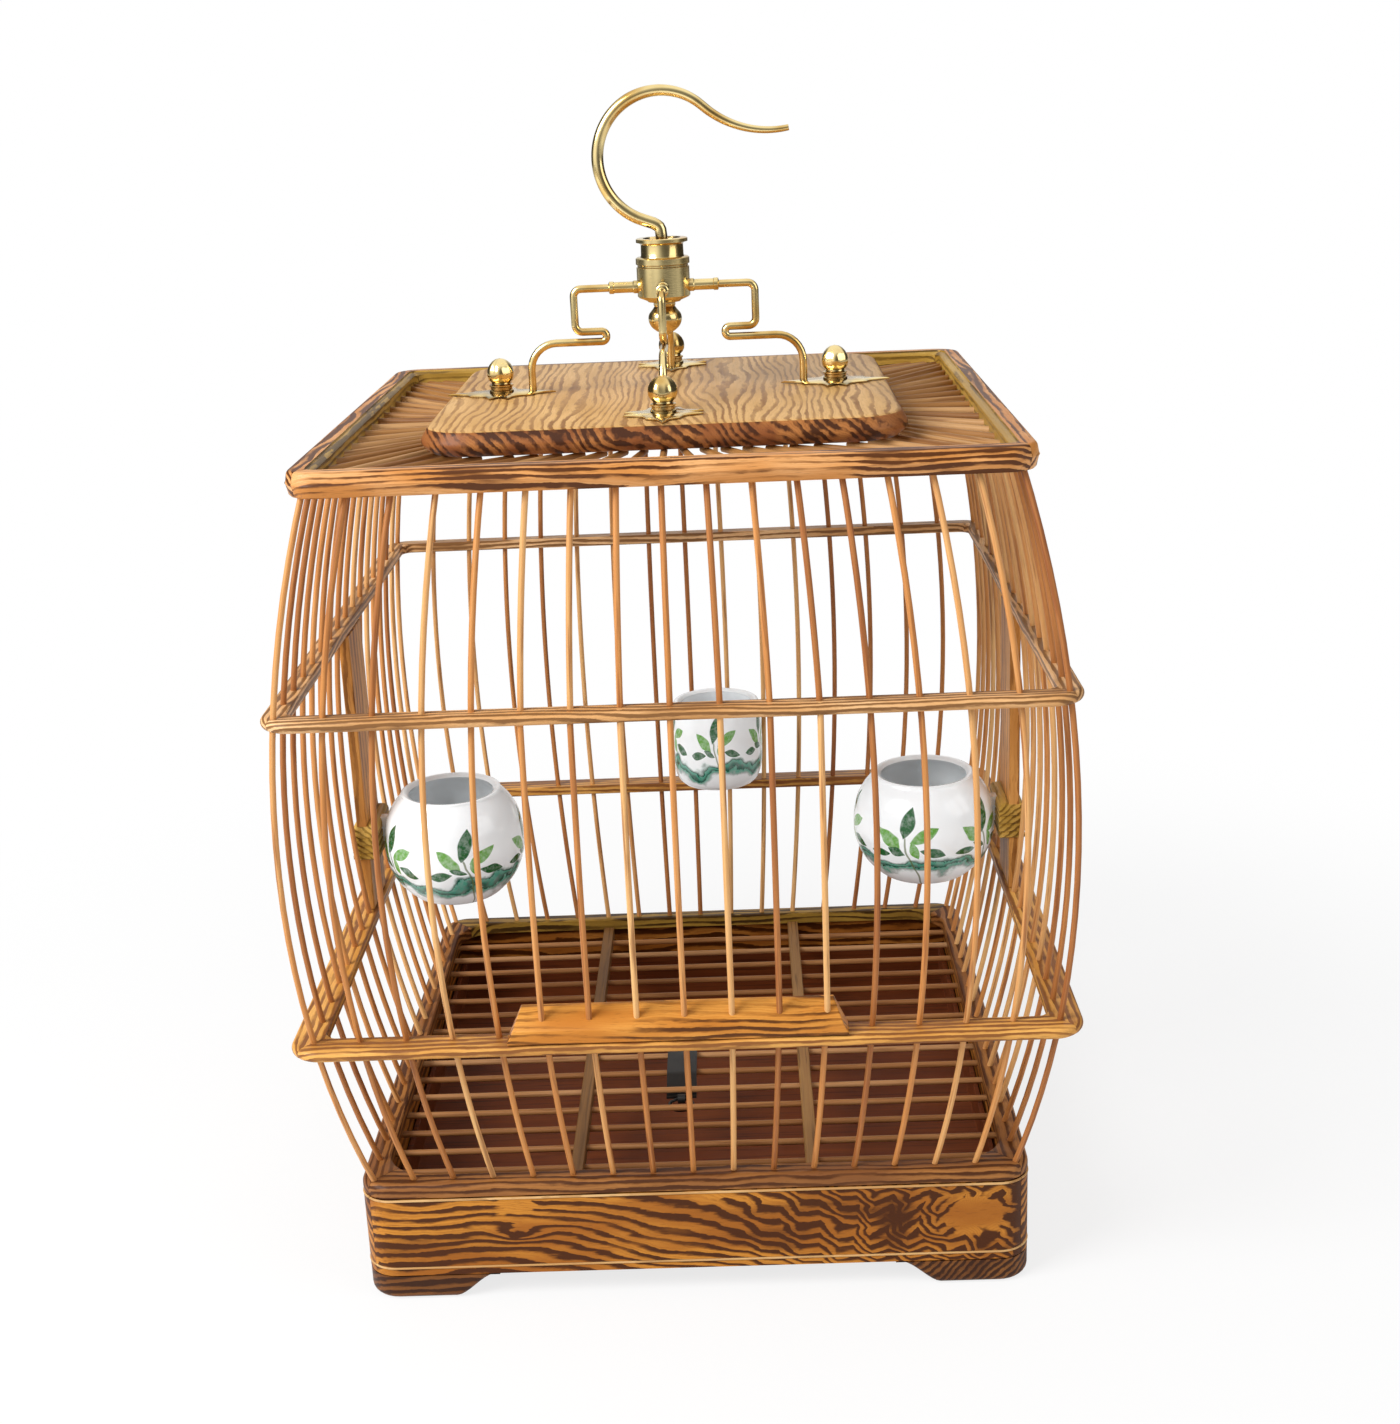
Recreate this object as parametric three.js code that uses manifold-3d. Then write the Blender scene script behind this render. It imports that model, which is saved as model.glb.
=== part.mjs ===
// Square wooden birdcage: bellied bars through two rails, a roof board with a brass hanger,
// a lift door, a dirt tray and three porcelain cups. Millimetres, +Z up, front towards -Y,
// origin on the floor under the middle of the cage.
import * as THREE from "three";
import { mergeVertices } from "three/addons/utils/BufferGeometryUtils.js";
import Module from "manifold-3d";

const wasm = await Module();
wasm.setup();

// Bars: every bar bends along one arc, so that the cage bellies out between its rails
const BARS_PER_SIDE = 17;
const BAR_DIAMETER = 3.2;
const BAR_CLEARANCE = 0.3;
const BAR_SIDES = 4;
const BELLY_REACH = 163.5;
const BELLY_HEIGHT = 213;
const BELLY_RADIUS = 576;

// Heights of the cage's levels
const FOOT_HEIGHT = 12;
const BOARD_HEIGHT = 39;
const RIM_HEIGHT = 6.5;
const LOWER_RAIL_LEVEL = 131.3;
const UPPER_RAIL_LEVEL = 276.5;
const TOP_FRAME_LEVEL = 365.5;

// Frames: how far each reaches outside and inside the line of the bars
const RAIL_THICKNESS = 5;
const UPPER_OUTSIDE = 6.5;
const UPPER_INSIDE = 4;
const LOWER_OUTSIDE = 10.6;
const LOWER_INSIDE = 3.5;
const RAIL_CORNER = 14;
const RAIL_EDGE = 0.7;
const TOP_THICKNESS = 10.5;
const TOP_OUTSIDE = 7.2;
const TOP_INSIDE = 4.5;
const TOP_CORNER = 14;
const TOP_BULGE = 1;
const RIM_OUTSIDE = 6.3;
const RIM_INSIDE = 4.1;
const RIM_INNER_CORNER = 20;
const BASE_CORNER = 14;
const INNER_CORNER = 6;
const RIM_EDGE = 1.6;
const SOCKET_DEPTH = 5;
const RIM_SOCKET_DEPTH = 4.5;
const SOCKET_END_GAP = 0.4;
const MITRE_GAP = 0.3;
const SEAT_GAP = 0.3;
const CORNER_STEPS = 3;
const SLIVER = 0.002;
const VERTEX_MERGE = 0.0001;

// Base box
const BOARD_THICKNESS = 8;
const BOARD_INNER_CORNER = 0.5;
const BEAD_RADIUS = 0.8;
const BEAD_PROUD = 0.4;
const LOWER_BEAD_RISE = 3.8;
const FOOT_THICKNESS = 9;
const FOOT_FLAT = 40;
const FOOT_SWEEP = 20;
const FOOT_ROUND = 4;

// Lift door in the front, whose bars run outside the fixed bars
const DOOR_BARS = 7;
const DOOR_OUTSET = 3.4;
const DOOR_BAR_STEPS = 6;
const DOOR_HOLE_CLEARANCE = 0.3;
const SILL_HEIGHT = 13;
const SILL_FRONT = 9.6;
const SILL_BACK = 4.8;
const SILL_FLAT = 3;
const SILL_NOSE_HEIGHT = 5.6;
const SILL_NOSE_TAPER = 2.5;
const SILL_END_TAPER = 6;
const SILL_SOCKET = 8;

// Floor grille and dirt tray
const GRILLE_RODS = 15;
const ROD_DIAMETER = 3;
const ROD_DROP = 1.8;
const ROD_END_GAP = 0.3;
const ROD_SIDES = 4;
const RIB_REACH = 53;
const RIB_THICKNESS = 4;
const RIB_HEIGHT = 6.4;
const TRAY_HEIGHT = 18;
const TRAY_WALL = 2.4;
const TRAY_SIDE_GAP = 0.7;
const RUNNER_WIDTH = 8;
const RUNNER_HEIGHT = 2.8;
const KNOB_RADIUS = 6;
const KNOB_LENGTH = 12;
const KNOB_PIN_RADIUS = 1.6;
const KNOB_PIN_LENGTH = 5;
const KNOB_STEPS = 10;

// Roof: slats fan from the top frame to the underside of the board
const ROOF_INSET = 39.5;
const ROOF_THICKNESS = 11;
const ROOF_LIFT = 5.5;
const ROOF_CORNER = 24;
const ROOF_EDGE_PROUD = 1.5;
const ROOF_EDGE_INSET = 3;
const SLATS_PER_SIDE = 15;
const SLAT_DIAMETER = 3;
const SLAT_LAP = 14;
const SLAT_SIDES = 4;

// Brass hanger
const LEG_FOOT_INSET = 41;
const FINIAL_SPREAD = 14.5;
const LEG_DIAMETER = 3.5;
const LEG_SIDES = 6;
const LEG_END_DROP = 3;
const LEG_SHOULDER_RISE = 22.6;
const LEG_SHOULDER_BEND = 12;
const LEG_LOOP_GAP = 4.6;
const LEG_LOOP_BEND = 2.2;
const LEG_BEND = 3.4;
const LEG_BEND_STEPS = 3;
const LEG_CLEARANCE = 0.3;
const PLATE_LENGTH = 50;
const PLATE_WIDTH = 34;
const PLATE_THICKNESS = 1;
const FINIAL_HEIGHT = 15.6;
const FINIAL_BALL_RADIUS = 6.4;
const FINIAL_COLLAR_RADIUS = 5.6;
const FINIAL_COLLAR_HEIGHT = 3.6;
const FINIAL_PIN_RADIUS = 2;
const FINIAL_STEPS = 10;
const HUB_RISE = 46.5;
const HUB_RADIUS = 12.2;
const HUB_LIP_RADIUS = 7.6;
const HUB_TAPER = 2.2;
const HUB_BARREL_BELOW = 4.7;
const HUB_BARREL_ABOVE = 13;
const HUB_NECK_RADIUS = 9.8;
const HUB_NECK_HEIGHT = 6.5;
const HUB_FLANGE_RADIUS = 11.7;
const HUB_FLANGE_HEIGHT = 1.8;
const HUB_STEPS = 16;
const ARM_RADIUS = 2.9;
const ARM_TIP_RADIUS = 2.5;
const ARM_SOCKET = 8;
const NUT_RADIUS = 7.6;
const NUT_NECK_RADIUS = 5;
const NUT_LENGTH = 13.4;
const SHANK_RADIUS = 2.7;
const SHANK_CLEARANCE = 0.35;
const HOOK_RADIUS = 28.5;
const HOOK_CENTRE_OUT = 1.5;
const HOOK_RISE = 35;
const HOOK_START_TURN = 4.4;
const HOOK_END_TURN = 0.84;
const HOOK_TIP_RADIUS = 45;
const HOOK_TIP_TURN = 0.91;
const HOOK_LOOP_STEPS = 16;
const HOOK_TIP_STEPS = 5;
const HOOK_SIDES = 8;
const HOOK_TIP_SHARE = 0.5;
const HOOK_BEND = 5;

// Porcelain cups and the wooden pieces that hold them
const CUP_RADIUS = 34.4;
const CUP_HEIGHT = 54;
const CUP_MOUTH_RADIUS = 25.4;
const CUP_WALL = 3;
const CUP_STEPS = 16;
const CUP_DROP = 26.2;
const BACK_CUP_RADIUS = 24.8;
const BACK_CUP_HEIGHT = 46;
const BACK_CUP_MOUTH_RADIUS = 23.6;
const BACK_CUP_DROP = 14.7;
const BLOCK_LEVEL = 160.7;
const BLOCK_HEIGHT = 17.6;
const BLOCK_INSIDE = 11;
const BLOCK_OUTSIDE = 1.6;
const BLOCK_GROOVES = 3;
const GROOVE_WIDTH = 1.4;
const GROOVE_DEPTH = 0.6;
const GROOVE_PITCH = 4;
const POST_THICKNESS = 5;
const EAR_NECK_WIDTH = 5;
const EAR_HEAD_WIDTH = 11.8;
const EAR_HEAD_THICKNESS = 2.3;
const EAR_HEIGHT = 12.5;
const EAR_CLEARANCE = 0.4;
const EAR_LIP = 1.5;
const CUP_BLOCK_GAP = 0.4;

// Steel clip that lies over two rods of the grille and hooks under a third
const CLIP_RODS = 3;
const CLIP_X = -7.5;
const CLIP_WIDTH = 14.6;
const CLIP_THICKNESS = 1.2;
const CLIP_OVERHANG = 4;
const CLIP_CURL_WIDTH = 3.6;
const CLIP_CURL_PAST = 3.4;
const RING_RADIUS = 5.7;
const RING_WIRE_RADIUS = 0.8;
const RING_CLEARANCE = 0.55;
const RING_SIDES = 5;
const RING_STEPS = 14;
const CURL_STEPS = 12;

// Shapes given as shares of the sizes above
const cutOverrun = 4;
const sillPitchesShare = 7.29;
const blockPitchesShare = 1.69;
const backCupPitchShare = 0.692;
const sillShiftShare = -0.152;
const slatSpreadShares = [0.871, 0.72];
const legReachShares = [0.4, 0.435, 0.661];
const flatTurnShare = 0.56;
const barStationShares = [0, 0.15, 0.355, 0.59, 0.815, 1];
const roofEdgeShares = [[0, 0.35], [0.2, 1], [0.42, 0.7], [0.66, 0.1], [0.86, -0.35], [1, -1]];
const footSweepShares = [[0, 0], [0.23, 0.06], [0.46, 0.4], [0.67, 0.77], [1, 0.96]];
const plateWaistShares = [0.36, 0.41];
const cupShares = [[0.56, 0], [0.72, 0.06], [0.9, 0.25], [1, 0.5], [0.985, 0.7], [0.88, 0.88]];
const backCupShares = [[0.8, 0], [0.92, 0.1], [1, 0.26], [1, 0.6], [0.97, 0.85], [0.92, 0.95]];
const cupLipShares = { round: 0.5, rise: 0.97 };
const cupFloorShares = { edge: 2, middle: 1.5 };
const earRootShare = 0.7;
const knobShares = [[0.5, 0], [0.5, 0.333], [1, 0.55], [0.8, 0.9], [0, 1]];
const finialTurnShares = [-0.51, -0.22, 0.065, 0.35, 0.67];
const nutTurnShares = [-0.605, -0.318, 0, 0.286];
const hookRootShares = [-0.333, 1.1];
const grooveStartShare = 0.6;

const FINISH = {
  wood: { color: 0xb9762f, roughness: 0.42, metalness: 0 },
  darkWood: { color: 0x6f4020, roughness: 0.42, metalness: 0 },
  roofWood: { color: 0xb88a52, roughness: 0.45, metalness: 0 },
  bar: { color: 0xd9a06a, roughness: 0.5, metalness: 0 },
  slat: { color: 0x9c7450, roughness: 0.55, metalness: 0 },
  tray: { color: 0x4d2214, roughness: 0.6, metalness: 0 },
  brass: { color: 0xd8b468, roughness: 0.18, metalness: 1 },
  porcelain: { color: 0xf3f2ee, roughness: 0.1, metalness: 0 },
  steel: { color: 0x2b2d30, roughness: 0.35, metalness: 0.9 },
};

const BAR_RADIUS = BAR_DIAMETER / 2;
const ROD_RADIUS = ROD_DIAMETER / 2;
const SLAT_RADIUS = SLAT_DIAMETER / 2;
const LEG_RADIUS = LEG_DIAMETER / 2;
const BOARD_TOP = FOOT_HEIGHT + BOARD_HEIGHT;
const RIM_TOP = BOARD_TOP + RIM_HEIGHT;
const SIDES = { front: 0, right: 1, back: 2, left: 3 };
const quarter = Math.PI / 2;

// Reach of an arc about the cage's far centre line, at a height and an outset from the bars
function barReach(height, outset = 0) {
  const radius = BELLY_RADIUS + outset;
  return Math.sqrt(radius ** 2 - (height - BELLY_HEIGHT) ** 2) - (BELLY_RADIUS - BELLY_REACH);
}

const BASE_HALF = barReach(RIM_TOP) + RIM_OUTSIDE;
const BOARD_INSIDE = BASE_HALF - BOARD_THICKNESS;
const TOP_HALF = barReach(TOP_FRAME_LEVEL) + TOP_OUTSIDE;
const TOP_TOP = TOP_FRAME_LEVEL + TOP_THICKNESS;
const ROOF_HALF = barReach(TOP_FRAME_LEVEL) - ROOF_INSET;
const ROOF_BOTTOM = TOP_FRAME_LEVEL + ROOF_LIFT;
const ROOF_TOP = ROOF_BOTTOM + ROOF_THICKNESS;
const LOWER_RAIL_TOP = LOWER_RAIL_LEVEL + RAIL_THICKNESS / 2;
const LOWER_RAIL_BOTTOM = LOWER_RAIL_LEVEL - RAIL_THICKNESS / 2;
const UPPER_RAIL_TOP = UPPER_RAIL_LEVEL + RAIL_THICKNESS / 2;
const UPPER_RAIL_BOTTOM = UPPER_RAIL_LEVEL - RAIL_THICKNESS / 2;
const HUB_LEVEL = ROOF_TOP + HUB_RISE;
const ROD_LEVEL = BOARD_TOP - ROD_DROP;
const SILL_PITCH = (2 * barReach(LOWER_RAIL_TOP)) / (BARS_PER_SIDE - 1);
const SILL_LENGTH = SILL_PITCH * sillPitchesShare;
const SILL_SHIFT = SILL_PITCH * sillShiftShare;
const LEG_FOOT_REACH = ROOF_HALF - LEG_FOOT_INSET;
const HANGER_REACH = LEG_FOOT_REACH + FINIAL_SPREAD;
const [ARM_REACH, LEG_LOOP_REACH, LEG_DROP_REACH] = legReachShares.map((share) => share * LEG_FOOT_REACH);

// Solids and meshes
function solid(geometry) {
  const bare = geometry.clone();
  bare.deleteAttribute("normal");
  bare.deleteAttribute("uv");
  const merged = mergeVertices(bare, VERTEX_MERGE);
  return new wasm.Manifold(new wasm.Mesh({
    numProp: 3,
    vertProperties: merged.attributes.position.array,
    triVerts: new Uint32Array(merged.index.array),
  }));
}

function geometryOf(made) {
  const mesh = made.simplify(SLIVER).getMesh();
  const geometry = new THREE.BufferGeometry();
  geometry.setAttribute("position", new THREE.BufferAttribute(new Float32Array(mesh.vertProperties), 3));
  geometry.setIndex(new THREE.BufferAttribute(new Uint32Array(mesh.triVerts), 1));
  return geometry;
}

function union(geometries) {
  return geometries.map(solid).reduce((all, next) => all.add(next));
}

const root = new THREE.Group();

function addMesh(name, geometry, finish) {
  geometry.computeVertexNormals();
  const mesh = new THREE.Mesh(geometry, new THREE.MeshStandardMaterial(FINISH[finish]));
  mesh.name = name;
  root.add(mesh);
  return mesh;
}

// Turns a geometry made for the front so that it stands at another side
function onSide(geometry, side) {
  return geometry.clone().rotateZ(side * quarter);
}

function box(minimum, maximum) {
  const size = maximum.map((top, axis) => top - minimum[axis]);
  const middle = maximum.map((top, axis) => (top + minimum[axis]) / 2);
  return new THREE.BoxGeometry(...size).translate(...middle);
}

// Points round a rectangle with rounded corners, counter-clockwise
function roundedOutline(halfX, halfY, radius, steps = CORNER_STEPS) {
  const points = [];
  for (let corner = 0; corner < 4; corner += 1) {
    const signX = corner === 0 || corner === 3 ? 1 : -1;
    const signY = corner < 2 ? 1 : -1;
    const centre = new THREE.Vector2(signX * (halfX - radius), signY * (halfY - radius));
    for (let step = 0; step <= steps; step += 1) {
      const angle = (corner + step / steps) * quarter;
      points.push(centre.clone().addScaledVector(direction(angle), radius));
    }
  }
  return points;
}

// Unit vector in a plane at an angle
function direction(angle) {
  return new THREE.Vector2(Math.cos(angle), Math.sin(angle));
}

function meshFromLoops(loops, closed) {
  const count = loops[0].length;
  const positions = loops.flat().flatMap((p) => [p.x, p.y, p.z]);
  const indices = [];
  const last = closed ? loops.length : loops.length - 1;
  for (let level = 0; level < last; level += 1) {
    const here = level * count;
    const next = ((level + 1) % loops.length) * count;
    for (let step = 0; step < count; step += 1) {
      const along = (step + 1) % count;
      indices.push(here + step, here + along, next + along);
      indices.push(here + step, next + along, next + step);
    }
  }
  if (!closed) {
    const top = last * count;
    for (let step = 1; step < count - 1; step += 1) {
      indices.push(0, step + 1, step);
      indices.push(top, top + step, top + step + 1);
    }
  }
  const geometry = new THREE.BufferGeometry();
  geometry.setAttribute("position", new THREE.BufferAttribute(new Float32Array(positions), 3));
  geometry.setIndex(indices);
  return geometry;
}

// A square frame: a profile of [reach, height] points swept round a rounded square
function frameRing(corner, profile, innerCorner = INNER_CORNER) {
  const widest = Math.max(...profile.map(([reach]) => reach));
  const narrowest = Math.min(...profile.map(([reach]) => reach));
  const loops = profile.map(([reach, height]) => {
    const radius = reach > narrowest ? corner - (widest - reach) : innerCorner;
    return roundedOutline(reach, reach, radius).map((p) => new THREE.Vector3(p.x, p.y, height));
  });
  return meshFromLoops(loops, true);
}

// A solid block whose outline changes with height: levels of [halfX, halfY, radius, height]
function stack(levels, steps) {
  const loops = levels.map(([halfX, halfY, radius, height]) =>
    roundedOutline(halfX, halfY, radius, steps).map((p) => new THREE.Vector3(p.x, p.y, height)));
  return meshFromLoops(loops, false);
}

function extrudeAlongX(points, length) {
  const shape = new THREE.Shape(points.map(([y, z]) => new THREE.Vector2(y, z)));
  const geometry = new THREE.ExtrudeGeometry(shape, { depth: length, bevelEnabled: false });
  return geometry.translate(0, 0, -length / 2).rotateX(quarter).rotateZ(quarter);
}

function extrudeAlongY(points, length) {
  const shape = new THREE.Shape(points.map(([x, z]) => new THREE.Vector2(x, z)));
  const geometry = new THREE.ExtrudeGeometry(shape, { depth: length, bevelEnabled: false });
  return geometry.translate(0, 0, -length / 2).rotateX(quarter);
}

// A path whose rings stand exactly on the given points
class StationPath extends THREE.Curve {
  constructor(points) {
    super();
    this.points = points;
  }

  getPoint(t, target = new THREE.Vector3()) {
    const place = Math.min(Math.max(t, 0), 1) * (this.points.length - 1);
    const index = Math.min(Math.floor(place), this.points.length - 2);
    return target.lerpVectors(this.points[index], this.points[index + 1], place - index);
  }

  getUtoTmapping(u) {
    return u;
  }
}

// A few-sided section with the area of the round one, its flats turned a little off the axes
function sectionShape(radius, sides) {
  const step = (4 * quarter) / sides;
  const corner = radius * Math.sqrt(step / Math.sin(step));
  const points = Array.from({ length: sides }, (_, side) =>
    direction((side + flatTurnShare) * step).multiplyScalar(corner));
  return new THREE.Shape(points);
}

function sweep(points, radius, sides) {
  const path = new StationPath(points);
  const options = { steps: points.length - 1, extrudePath: path, bevelEnabled: false };
  return new THREE.ExtrudeGeometry(sectionShape(radius, sides), options);
}

function rod(from, to, radius, sides) {
  return sweep([from, to], radius, sides);
}

// Points of a bent wire in a plane: corners of [reach, height, bend radius]
function bentPath(corners, bendSteps) {
  const points = [];
  corners.forEach(([reach, height, bend], index) => {
    const here = new THREE.Vector2(reach, height);
    if (!bend) {
      points.push(here);
      return;
    }
    const before = new THREE.Vector2(corners[index - 1][0], corners[index - 1][1]).sub(here).normalize();
    const after = new THREE.Vector2(corners[index + 1][0], corners[index + 1][1]).sub(here).normalize();
    const half = Math.acos(before.dot(after)) / 2;
    const tangent = bend / Math.tan(half);
    const inward = before.clone().add(after).normalize();
    const centre = here.clone().addScaledVector(inward, bend / Math.sin(half));
    const start = here.clone().addScaledVector(before, tangent).sub(centre).angle();
    const sweepAngle = Math.PI - 2 * half;
    const turn = Math.sign(before.cross(after)) || 1;
    for (let step = 0; step <= bendSteps; step += 1) {
      const angle = start - turn * sweepAngle * (step / bendSteps);
      points.push(direction(angle).multiplyScalar(bend).add(centre));
    }
  });
  return points;
}

// Bars
function barPoint(share, side, height, outset = 0) {
  const reach = barReach(height);
  const point = new THREE.Vector3(share * reach, -(reach + outset), height);
  return point.applyAxisAngle(new THREE.Vector3(0, 0, 1), side * quarter);
}

const BAR_TOP = TOP_FRAME_LEVEL + SOCKET_DEPTH;
const BAR_BOTTOM = RIM_TOP - RIM_SOCKET_DEPTH;

const STATIONS = barStationShares.map((share) => BAR_BOTTOM + share * (BAR_TOP - BAR_BOTTOM));

// Points of a bar between two heights, straight from station to station
function barPoints(side, index, bottom, top) {
  const heights = [bottom, ...STATIONS.filter((z) => z > bottom && z < top), top];
  return heights.map((height) => {
    const next = Math.max(1, STATIONS.findIndex((z) => z >= Math.min(height, BAR_TOP)));
    const [low, high] = [STATIONS[next - 1], STATIONS[next]];
    const from = barPoint(barShare(index), side, low);
    const to = barPoint(barShare(index), side, high);
    return from.lerp(to, (height - low) / (high - low));
  });
}

function barShare(index) {
  return (2 * index) / (BARS_PER_SIDE - 1) - 1;
}

function bar(side, index, bottom = BAR_BOTTOM, top = BAR_TOP, radius = BAR_RADIUS) {
  return sweep(barPoints(side, index, bottom, top), radius, BAR_SIDES);
}

const LAST_BAR = BARS_PER_SIDE - 1;
const MIDDLE_BAR = LAST_BAR / 2;
const FIRST_DOOR_BAR = MIDDLE_BAR - (DOOR_BARS - 1) / 2;
const LAST_DOOR_BAR = FIRST_DOOR_BAR + DOOR_BARS - 1;
const isCorner = (index) => index === 0 || index === LAST_BAR;
const isDoorBar = (side, index) => side === SIDES.front && index >= FIRST_DOOR_BAR && index <= LAST_DOOR_BAR;
const isPostBar = (side, index) => side % 2 === 1 && index === MIDDLE_BAR;
const isBroken = (side, index) => isDoorBar(side, index) || isPostBar(side, index);

// All places of bars: the corner bars belong to the front and the back
const PLACES = Object.values(SIDES).flatMap((side) => {
  const all = Array.from({ length: BARS_PER_SIDE }, (_, index) => ({ side, index }));
  return side % 2 ? all.filter(({ index }) => !isCorner(index)) : all;
});
const DOOR_BAR_X = PLACES.filter(({ side, index }) => isDoorBar(side, index))
  .map(({ index }) => barShare(index) * barReach(UPPER_RAIL_LEVEL));

// Holes for bars through one level
function barCutters(places, bottom, top) {
  return union(places.map(({ side, index }) => bar(side, index, bottom, top, BAR_RADIUS + BAR_CLEARANCE)));
}

// Points on a door bar's arc, which shares its centre with the arc of the fixed bars
function doorBarPoints(x, bottom, top, steps) {
  const points = [];
  for (let step = 0; step <= steps; step += 1) {
    const height = bottom + ((top - bottom) * step) / steps;
    points.push(new THREE.Vector3(x, -barReach(height, DOOR_OUTSET), height));
  }
  return points;
}

function doorHoleCutters() {
  const radius = BAR_RADIUS + DOOR_HOLE_CLEARANCE;
  const [bottom, top] = [UPPER_RAIL_BOTTOM - RAIL_EDGE, UPPER_RAIL_TOP + RAIL_EDGE];
  return union(DOOR_BAR_X.map((x) => sweep(doorBarPoints(x, bottom, top, 1), radius, BAR_SIDES)));
}

// Frames, each cut into four members at the mitres
function mitreWedge(side, reach, bottom, top) {
  const outer = reach + cutOverrun;
  const inset = MITRE_GAP / Math.SQRT2;
  const corners = [[0, -inset], [-outer + inset, -outer], [outer - inset, -outer]];
  const shape = new THREE.Shape(corners.map(([x, y]) => new THREE.Vector2(x, y)));
  const geometry = new THREE.ExtrudeGeometry(shape, { depth: top - bottom, bevelEnabled: false });
  return solid(onSide(geometry.translate(0, 0, bottom), side));
}

function members(ring, reach, bottom, top) {
  const parts = {};
  for (const [name, side] of Object.entries(SIDES)) {
    parts[name] = ring.intersect(mitreWedge(side, reach, bottom - cutOverrun, top + cutOverrun));
  }
  return parts;
}

function railRing(level, reachOutside, reachInside) {
  const outside = barReach(level) + reachOutside;
  const inside = barReach(level) - reachInside;
  const low = level - RAIL_THICKNESS / 2;
  const high = level + RAIL_THICKNESS / 2;
  return solid(frameRing(RAIL_CORNER, [
    [inside, low], [outside - RAIL_EDGE, low], [outside, low + RAIL_EDGE],
    [outside, high - RAIL_EDGE], [outside - RAIL_EDGE, high], [inside, high],
  ]));
}

function topRing() {
  const inside = barReach(TOP_FRAME_LEVEL) - TOP_INSIDE;
  return solid(frameRing(TOP_CORNER, [
    [inside, TOP_FRAME_LEVEL], [TOP_HALF - TOP_BULGE, TOP_FRAME_LEVEL],
    [TOP_HALF, TOP_FRAME_LEVEL + TOP_THICKNESS / 2], [TOP_HALF - TOP_BULGE, TOP_TOP],
    [inside, TOP_TOP],
  ]));
}

function rimRing() {
  const inside = barReach(RIM_TOP) - RIM_INSIDE;
  return solid(frameRing(BASE_CORNER, [
    [inside, BOARD_TOP], [BASE_HALF, BOARD_TOP], [BASE_HALF, RIM_TOP - RIM_EDGE],
    [BASE_HALF - RIM_EDGE, RIM_TOP], [inside, RIM_TOP],
  ], RIM_INNER_CORNER));
}

// The base boards carry two fine beads, one under the rim and one above the feet
function boardRing() {
  const proud = BASE_HALF + BEAD_PROUD;
  const bottom = FOOT_HEIGHT;
  const top = BOARD_TOP - SEAT_GAP;
  const beads = [bottom + LOWER_BEAD_RISE, top - BEAD_RADIUS];
  const outer = [[BASE_HALF, bottom]];
  beads.forEach((level) => {
    outer.push([BASE_HALF, level - BEAD_RADIUS], [proud, level - BEAD_RADIUS / 2]);
    outer.push([proud, level + BEAD_RADIUS / 2], [BASE_HALF, level + BEAD_RADIUS]);
  });
  const profile = [[BOARD_INSIDE, bottom], ...outer, [BOARD_INSIDE, top]];
  return solid(frameRing(BASE_CORNER, profile, BOARD_INNER_CORNER));
}

// Joins to a member the bars that it carries
function withBars(member, bars) {
  return bars.length ? member.add(union(bars)) : member;
}

// The upper rail carries the bars of its side, the lower one those that end at the door or a post
function buildUpperRail() {
  const free = PLACES.filter(({ side, index }) => isCorner(index) || (side === 0 && !isDoorBar(side, index)));
  const ring = railRing(UPPER_RAIL_LEVEL, UPPER_OUTSIDE, UPPER_INSIDE);
  const holes = barCutters(free, UPPER_RAIL_BOTTOM - RAIL_THICKNESS, UPPER_RAIL_TOP + RAIL_THICKNESS);
  const cut = ring.subtract(holes).subtract(doorHoleCutters());
  const reach = barReach(UPPER_RAIL_LEVEL) + UPPER_OUTSIDE;
  for (const [name, made] of Object.entries(members(cut, reach, UPPER_RAIL_BOTTOM, UPPER_RAIL_TOP))) {
    const carried = PLACES.filter(({ side, index }) =>
      side === SIDES[name] && !free.some((place) => place.side === side && place.index === index));
    const bars = carried.map(({ side, index }) =>
      bar(side, index, isBroken(side, index) ? UPPER_RAIL_LEVEL : BAR_BOTTOM, BAR_TOP));
    addMesh(`upper_rail_${name}`, geometryOf(withBars(made, bars)), "wood");
  }
}

function buildLowerRail() {
  const broken = PLACES.filter(({ side, index }) => isBroken(side, index));
  const passing = PLACES.filter(({ side, index }) => !isBroken(side, index));
  const holes = barCutters(passing, LOWER_RAIL_BOTTOM - RAIL_THICKNESS, LOWER_RAIL_TOP + RAIL_THICKNESS);
  const ring = railRing(LOWER_RAIL_LEVEL, LOWER_OUTSIDE, LOWER_INSIDE).subtract(holes);
  const reach = barReach(LOWER_RAIL_LEVEL) + LOWER_OUTSIDE;
  for (const [name, made] of Object.entries(members(ring, reach, LOWER_RAIL_BOTTOM, LOWER_RAIL_TOP))) {
    const carried = broken.filter(({ side }) => side === SIDES[name]);
    const bars = carried.map(({ side, index }) => bar(side, index, BAR_BOTTOM, LOWER_RAIL_LEVEL));
    addMesh(`lower_rail_${name}`, geometryOf(withBars(made, bars)), "wood");
  }
}

function buildTopFrame() {
  const sockets = barCutters(PLACES, TOP_FRAME_LEVEL - TOP_THICKNESS, BAR_TOP + SOCKET_END_GAP);
  const parts = members(topRing(), TOP_HALF, TOP_FRAME_LEVEL, TOP_TOP);
  for (const [name, made] of Object.entries(parts)) {
    const slats = union(slatRods().map((slat) => onSide(slat, SIDES[name])));
    addMesh(`top_frame_${name}`, geometryOf(made.add(slats).subtract(sockets)), "wood");
  }
}

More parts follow.
